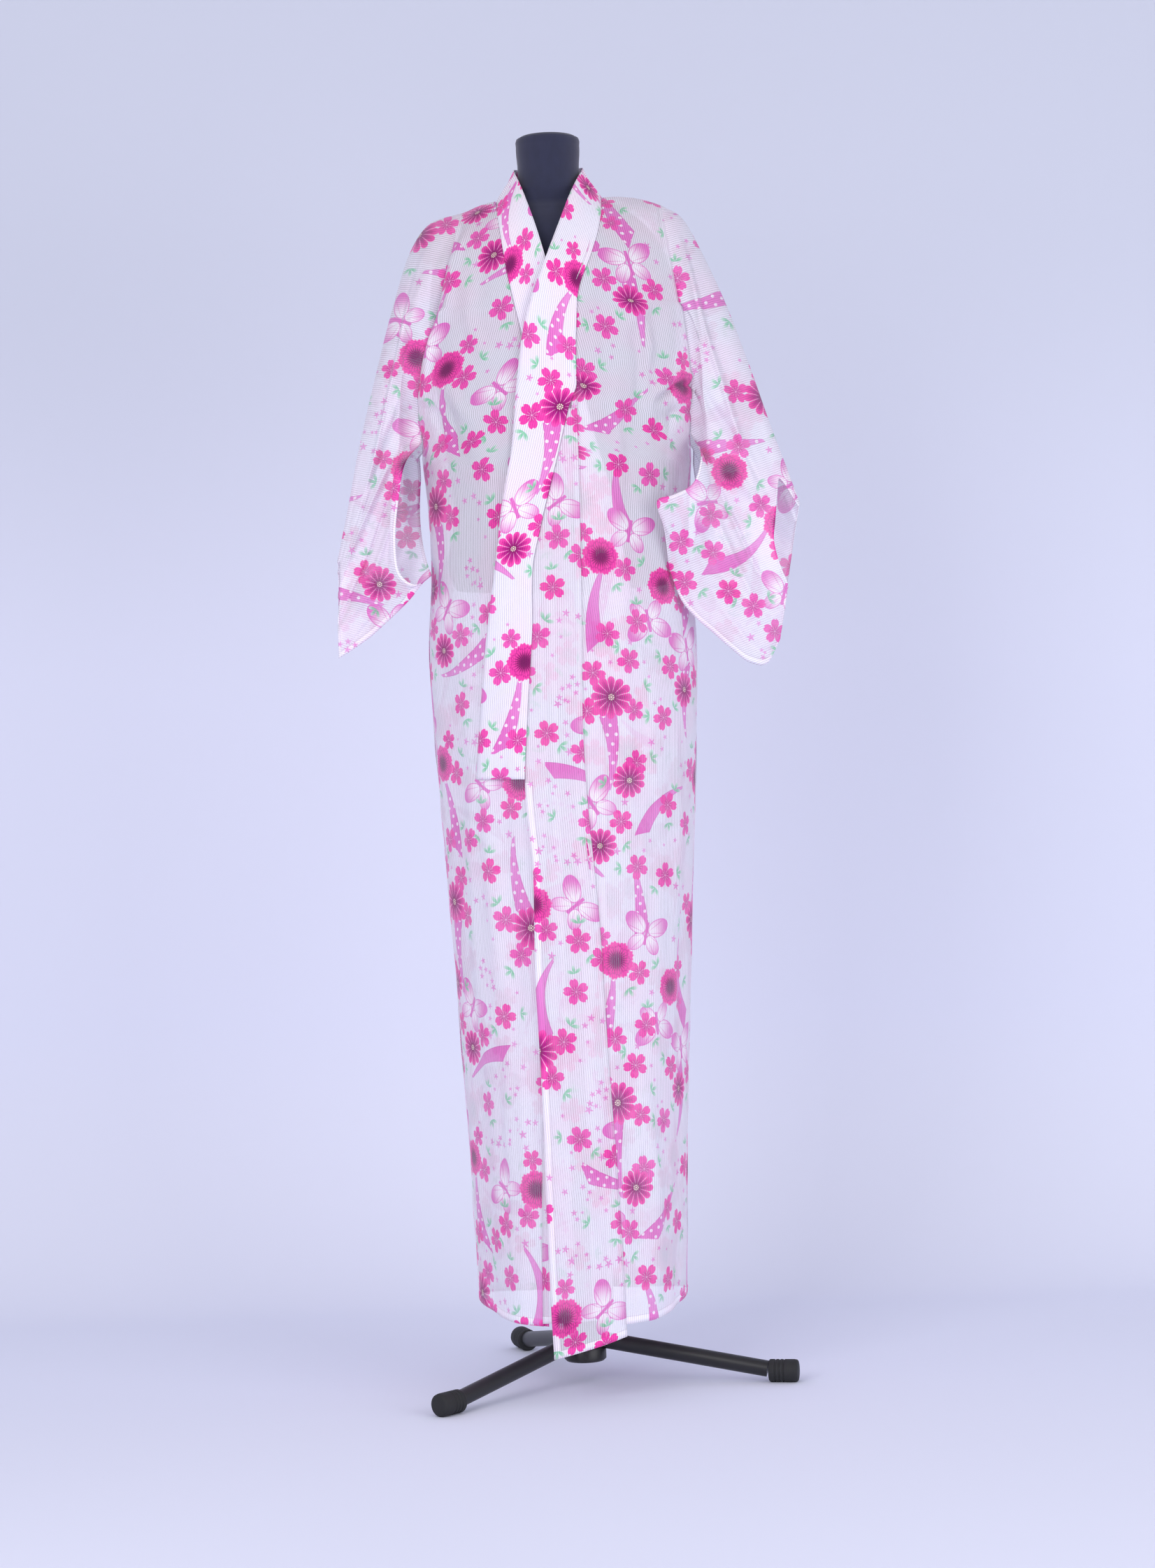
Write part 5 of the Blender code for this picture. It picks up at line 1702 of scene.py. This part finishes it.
@dataclass
class Garment:
    """The robe: seven sheets of one printed cotton.

    Attributes:
        groups: Shader groups of the cloth.
        pattern: The print.
        outer: Finish of the right side.
        band: Finish of the folded collar.
    """

    groups: ClothGroups
    pattern: Print = field(default_factory=Print)
    outer: CottonFinish = CottonFinish("printed_cotton")
    band: CottonFinish = CottonFinish("printed_cotton_folded", linear(244, 241, 254),
                                      opacity=0.80, doubled=0.97)

    def __post_init__(self) -> None:
        """Makes the materials of both surfaces."""
        self.materials = {f: f.material(self.groups) for f in (self.outer, self.band)}
        self.inside = self.outer.wrong_side()

    def piece(self, name: str, sheet: Sheet, inside: Array, shift: tuple[float, float],
              folded: bool = False, inward: bool = False) -> Object:
        """Makes one sheet an object with its wall, print and edges.

        Args:
            name: Object name.
            sheet: The sheet.
            inside: A point on the sheet's inner side, from which its middle face looks away.
            shift: Where the print's repeat starts.
            folded: Whether the cloth lies double all over.
            inward: Whether the wall grows inward from the grid.

        Returns:
            The object.
        """
        rows, columns = sheet.points.shape[:2]
        faces = grid_faces(rows, columns, sheet.loop)
        flat = sheet.flat.reshape(-1, 2)[faces]
        edges = np.stack([sheet.seam, sheet.hem, 0 * sheet.hem], -1).reshape(-1, 3)[faces]
        if sheet.loop:  # the faces that close the loop run on past its last column
            closing = np.flatnonzero(np.arange(len(faces)) % columns == columns - 1)
            step = flat[closing, 0, 1] - flat[closing - 1, 0, 1]
            flat[closing, 1, 1] = flat[closing, 0, 1] + step
            flat[closing, 2, 1] = flat[closing, 3, 1] + step
        p = sheet.points.reshape(-1, 3)
        middle = faces[(rows // 2) * (columns if sheet.loop else columns - 1) + columns // 4]
        normal = np.cross(p[middle[2]] - p[middle[0]], p[middle[3]] - p[middle[1]])
        if normal @ (p[middle].mean(0) - inside) < 0:
            faces, flat, edges = faces[:, ::-1], flat[:, ::-1], edges[:, ::-1]
        made = mesh_object(name, sheet.points, faces.tolist())
        mesh = made.data
        write_corners(mesh, "cut", np.concatenate([flat, 0 * flat[..., :1]], -1))
        write_corners(mesh, "edges", edges)
        self.pattern.lay(mesh, flat, shift)
        self.thicken(made, sheet, folded, inward)
        right = self.materials[self.band if folded else self.outer]
        mesh.materials.append(right)
        mesh.materials.append(right if folded else self.inside)
        return made

    @staticmethod
    def thicken(made: Object, sheet: Sheet, folded: bool, inward: bool) -> None:
        """Gives a piece its wall, of two plies at hems and seams.

        Args:
            made: The piece.
            sheet: Its sheet.
            folded: Whether it has two plies all over.
            inward: Whether the wall grows inward from the grid.
        """
        plies = made.vertex_groups.new(name="plies")
        hemmed, sewn = (1 - ease(*TURNED_IN, edge) for edge in (sheet.hem, sheet.seam))
        doubled = np.maximum(hemmed, 0.6 * sewn)
        for level in (1.0, 0.75, 0.5, 0.25):  # each takes the values nearest to it
            chosen = np.flatnonzero(np.abs(doubled.reshape(-1) - level) < 0.126)
            plies.add(chosen.tolist(), level, "REPLACE")
        wall = made.modifiers.new("wall", "SOLIDIFY")
        wall.thickness = 2 * WALL
        wall.offset = -1.0 if inward else 1.0
        wall.material_offset = 1
        if not folded:
            wall.vertex_group = plies.name
            wall.thickness_vertex_group = 0.5

    def build(self) -> dict[str, Object]:
        """Returns:
            The pieces by the names of their CAD nodes.
        """
        panels = {side: BodyPanel(side).sheet() for side in Side}
        overlaps = {side: Overlap(side).sheet() for side in Side}
        core = np.array([0.0, 0.0, 1.0])
        made = {}
        for side in Side:
            label, left = side.name.lower(), side == Side.LEFT
            made[f"body_{label}"] = self.piece(f"cloth_body_{label}", panels[side], core,
                                               (-0.05 if left else 0.13, 0.10))
            made[f"overlap_{label}"] = self.piece(f"cloth_overlap_{label}", overlaps[side], core,
                                                  (0.02, 0.33 + 0.2 * left))
            made[f"sleeve_{label}"] = self.piece(
                f"cloth_sleeve_{label}", Sleeve(side, panels[side]).sheet(),
                np.array([side * 0.24, -0.02, 1.30]), (0.07 + 0.13 * side, 0.13), inward=True)
        made["collar"] = self.piece("cloth_collar", CollarBand().sheet(panels, overlaps), core,
                                    (0.09, 0.05), folded=True, inward=True)
        for name, piece in made.items():
            settle(piece, "collar_cloth" if name == "collar" else "cloth", name)
        return made


def turned(profile: Sequence[tuple[float, float]], start: Sequence[float], end: Sequence[float],
           sides: int) -> tuple[Array, list[tuple[int, ...]]]:
    """A turned solid along a line.

    Point = start + s w + r (cos a u + sin a v), with (s, r) from the profile, w the line's
    direction and u, v across it. Both ends are closed with one face.

    Args:
        profile: Distances along the line and radii.
        start: The line's start.
        end: A point further along the line.
        sides: Points round it.

    Returns:
        Points and faces, facing outward.
    """
    s, r = np.array(profile, float).T
    start = np.array(start, float)
    w = unit(end - start)
    u = unit(np.cross(w, (0.0, 0.0, 1.0) if abs(w[2]) < 0.9 else (1.0, 0.0, 0.0)))
    v = np.cross(w, u)
    a = np.linspace(0, 2 * math.pi, sides, endpoint=False)[None, :, None]
    points = start + s[:, None, None] * w + r[:, None, None] * (np.cos(a) * u + np.sin(a) * v)
    return points, closed_faces(len(s), sides)


@dataclass
class DressForm:
    """The black limbless form: torso and neck block in one covered shell.

    Attributes:
        around: Points round a ring.
        rings: Number of rings.
        seam: Depth of the cover's seam down each side.
    """

    around: int = 128
    rings: int = 150
    seam: float = 0.0006

    def build(self, jersey: Material) -> Object:
        """The form: each ring is a superellipse, |x|^(2/q) + |y|^(2/q) = 1, q near 1.

        Args:
            jersey: Finish of the cover.

        Returns:
            The object.
        """
        low, top = FORM_RINGS[0][0], FORM_RINGS[-1][0]
        knots = np.array([row[0] for row in FORM_RINGS])
        heights = np.unique(np.concatenate([np.linspace(low, top, self.rings), knots]).round(5))
        a = np.linspace(0, 2 * math.pi, self.around, endpoint=False)[None, :]
        half = smooth(FORM_RINGS, heights, 1)[:, None]
        depth = smooth(FORM_RINGS, heights, 2)[:, None]
        power = (1 - 0.12 * np.exp(-(((heights - 1.60) / 0.08) ** 2)))[:, None]
        dent = 1 - self.seam / half * np.exp(-((np.cos(a) / 0.03) ** 2))
        x = half * np.sign(np.sin(a)) * np.abs(np.sin(a)) ** power * dent
        y = -depth * np.sign(np.cos(a)) * np.abs(np.cos(a)) ** power * np.ones_like(dent)
        z = np.broadcast_to(heights[:, None], x.shape)
        points = np.stack([x, y, z], -1)
        rim = np.array([(1.0, 0.0), (0.985, 0.0012), (0.93, 0.0022), (0.5, 0.0026)])
        crown = points[-1][None] * np.array([1, 1, 0]) * rim[:, :1, None]
        crown[..., 2] = top - 0.0026 + rim[:, 1:]
        points = np.concatenate([points[:-1], crown])
        torso = solid_object("torso", points, closed_faces(len(points), self.around), 70.0)
        settle(torso, "form_torso", "form_torso", jersey)
        return torso


@dataclass
class Stand:
    """Pole, hub, three legs and their rubber caps.

    Attributes:
        pole_radius: Radius of the pole.
        hub: Radius, lowest and highest point of the hub.
        leg_radius: Radius of a leg.
        leg_angles: Degrees of the legs from +X.
        leg_inner: Distance from the axis and height of a leg's inner end.
        leg_outer: The same at its cap.
        cap_radius: Radius of a rubber cap.
        cap_length: Length of a rubber cap.
        sides: Points round the pole, a leg or a cap.
    """

    pole_radius: float = 0.0125
    hub: tuple[float, float, float] = (0.030, 0.030, 0.090)
    leg_radius: float = 0.0115
    leg_angles: tuple[float, ...] = (-11.0, 109.0, 229.0)
    leg_inner: tuple[float, float] = (0.0304, 0.058)
    leg_outer: tuple[float, float] = (0.262, 0.0185)
    cap_radius: float = 0.0160
    cap_length: float = 0.042
    sides: int = 48

    def build(self, steel: Material, rubber: Material) -> None:
        """Builds the eight pieces of the stand.

        Args:
            steel: Finish of the pole, the hub and the legs.
            rubber: Finish of the caps.
        """
        top = FORM_RINGS[0][0] - 0.0003
        radius, low, high = self.hub
        pole = self.pole_radius
        length = top - high
        shaft = turned([(0, pole), (length * 0.5, pole), (length * 0.5 + 0.0004, pole - 0.0008),
                        (length - 0.0006, pole - 0.0008), (length, pole - 0.0014)],
                       (0, 0, high), (0, 0, top), self.sides)
        settle(solid_object("pole_tube", *shaft), "stand", "pole", steel)
        bevel = 0.003
        body = turned([(0, radius - bevel), (bevel, radius), (0.018, radius),
                       (0.020, radius - 0.0015), (0.022, radius), (high - low - bevel, radius),
                       (high - low, radius - bevel)], (0, 0, low), (0, 0, high), 64)
        settle(solid_object("leg_hub", *body), "stand", "hub", steel)
        (near, inner), (far, outer) = self.leg_inner, self.leg_outer
        lean = math.sin(math.atan2(inner - outer, far - near)) * self.leg_radius
        for index, degrees in enumerate(self.leg_angles, 1):
            way = np.array([*bearing(degrees), 0.0])
            up = np.array([0.0, 0.0, 1.0])
            start, end = way * (near + lean) + up * inner, way * far + up * outer
            run = float(np.linalg.norm(end - start))
            r = self.leg_radius
            tube = turned([(0, r), (run, r)], start, end, self.sides)
            settle(solid_object(f"leg_tube_{index}", *tube), "stand", f"leg_{index}", steel)
            settle(self.cap(index, way, far + lean + 0.0003), "foot", f"foot_{index}", rubber)

    def cap(self, index: int, way: Array, distance: float) -> Object:
        """A rubber cap, with three grooves round it and a rounded end.

        Args:
            index: The leg's number.
            way: The leg's direction on the floor.
            distance: From the axis to the cap's inner end.

        Returns:
            The object.
        """
        r, length = self.cap_radius, self.cap_length
        profile = [(0, r - 0.0022), (0.0010, r - 0.0006), (0.0024, r)]
        for k in range(3):
            at = 0.008 + 0.006 * k
            floor = r - 0.0009
            profile += [(at, r), (at + 0.0008, floor), (at + 0.0020, floor), (at + 0.0028, r)]
        profile += [(length - 0.006, r), (length - 0.002, r - 0.0007),
                    (length - 0.0006, r - 0.0022), (length, r - 0.0045)]
        base = way * distance + np.array([0.0, 0.0, r])
        return solid_object(f"rubber_cap_{index}", *turned(profile, base, base + way, self.sides))


# ---------------------------------------------------------------- stage

@dataclass
class Studio:
    """Paper backdrop, soft lights and the camera.

    Attributes:
        focal: Focal length in heights of the picture.
        place: The camera, from the pole's axis.
        roll: Degrees that the camera leans.
        wall: How far behind the axis the paper stands.
        bend: Radius of its bend.
    """

    focal: float = 4500 / 2243
    place: tuple[float, float, float] = (0.0143, -4.5, 0.8535)
    roll: float = -1.8
    wall: float = 1.05
    bend: float = 0.45

    def backdrop(self, paper: Material) -> None:
        """A sheet of paper that runs back along the floor, through a quarter circle and up.

        It is clear from behind, so that it hides the robe from no side.
        """
        turn = np.linspace(0, math.pi / 2, 24)
        y = np.concatenate([[-9.0], self.wall - self.bend + self.bend * np.sin(turn), [self.wall]])
        z = np.concatenate([[0.0], self.bend * (1 - np.cos(turn)), [6.0]])
        points = np.stack([np.stack([np.full_like(y, x), y, z], -1) for x in (-7.0, 7.0)], 1)
        sheet = mesh_object("paper_backdrop", points, grid_faces(len(y), 2).tolist())
        sheet.data.materials.append(paper)

    @staticmethod
    def light(name: str, place: Sequence[float], aim: Sequence[float], size: float, power: float,
              colour: tuple[float, float, float]) -> None:
        """Adds a square area light.

        Args:
            name: Its name.
            place: Where it is, from the axis.
            aim: The point that it looks at.
            size: Length of its side.
            power: Watts.
            colour: Linear red, green and blue.
        """
        data = bpy.data.lights.new(name, "AREA")
        data.shape, data.size, data.energy, data.color = "SQUARE", size, power, colour
        lamp = add_object(name, data)
        lamp.location = Vector(place) + Vector(AXIS)
        way = Vector(aim) - Vector(place)
        lamp.rotation_euler = way.to_track_quat("-Z", "Y").to_euler()

    def lights(self) -> None:
        """A broad key from the front left, a fill from the right and an even sky."""
        self.light("key", (-1.7, -3.2, 2.1), (0.0, 0.0, 0.8), 2.0, 55.0, (0.99, 0.97, 1.0))
        self.light("fill", (2.6, -2.6, 1.3), (0.0, 0.0, 0.6), 2.4, 46.0, (0.97, 0.97, 1.0))
        world = bpy.data.worlds.new("even_sky")
        world.use_nodes = True
        sky = world.node_tree.nodes["Background"]
        sky.inputs["Color"].default_value = (0.93, 0.93, 1.0, 1.0)
        sky.inputs["Strength"].default_value = 0.60
        bpy.context.scene.world = world

    def camera(self) -> None:
        """The camera: level, rolled a little, with its focal length on a 36 mm high sensor."""
        data = bpy.data.cameras.new("camera")
        data.sensor_fit, data.sensor_height = "VERTICAL", 36.0
        data.lens = self.focal * data.sensor_height
        data.clip_end = 50.0
        view = add_object("camera", data)
        place = Vector(self.place) + Vector(AXIS)
        view.matrix_world = (Matrix.Translation(place) @ Matrix.Rotation(math.radians(90), 4, "X")
                             @ Matrix.Rotation(math.radians(self.roll), 4, "Z"))
        bpy.context.scene.camera = view
        bpy.context.scene.view_settings.view_transform = "Standard"


def main() -> None:
    """Builds the stage, the form, the stand and the robe."""
    logging.basicConfig(level=logging.INFO, format="%(name)s %(message)s")
    grain = grain_group()
    studio = Studio()
    studio.camera()
    studio.lights()
    studio.backdrop(PaperFinish().material())
    DressForm().build(JERSEY.material(grain))
    Stand().build(BLACK_STEEL.material(grain), RUBBER.material(grain))
    Garment(ClothGroups()).build()


if __name__ == "__main__":
    main()
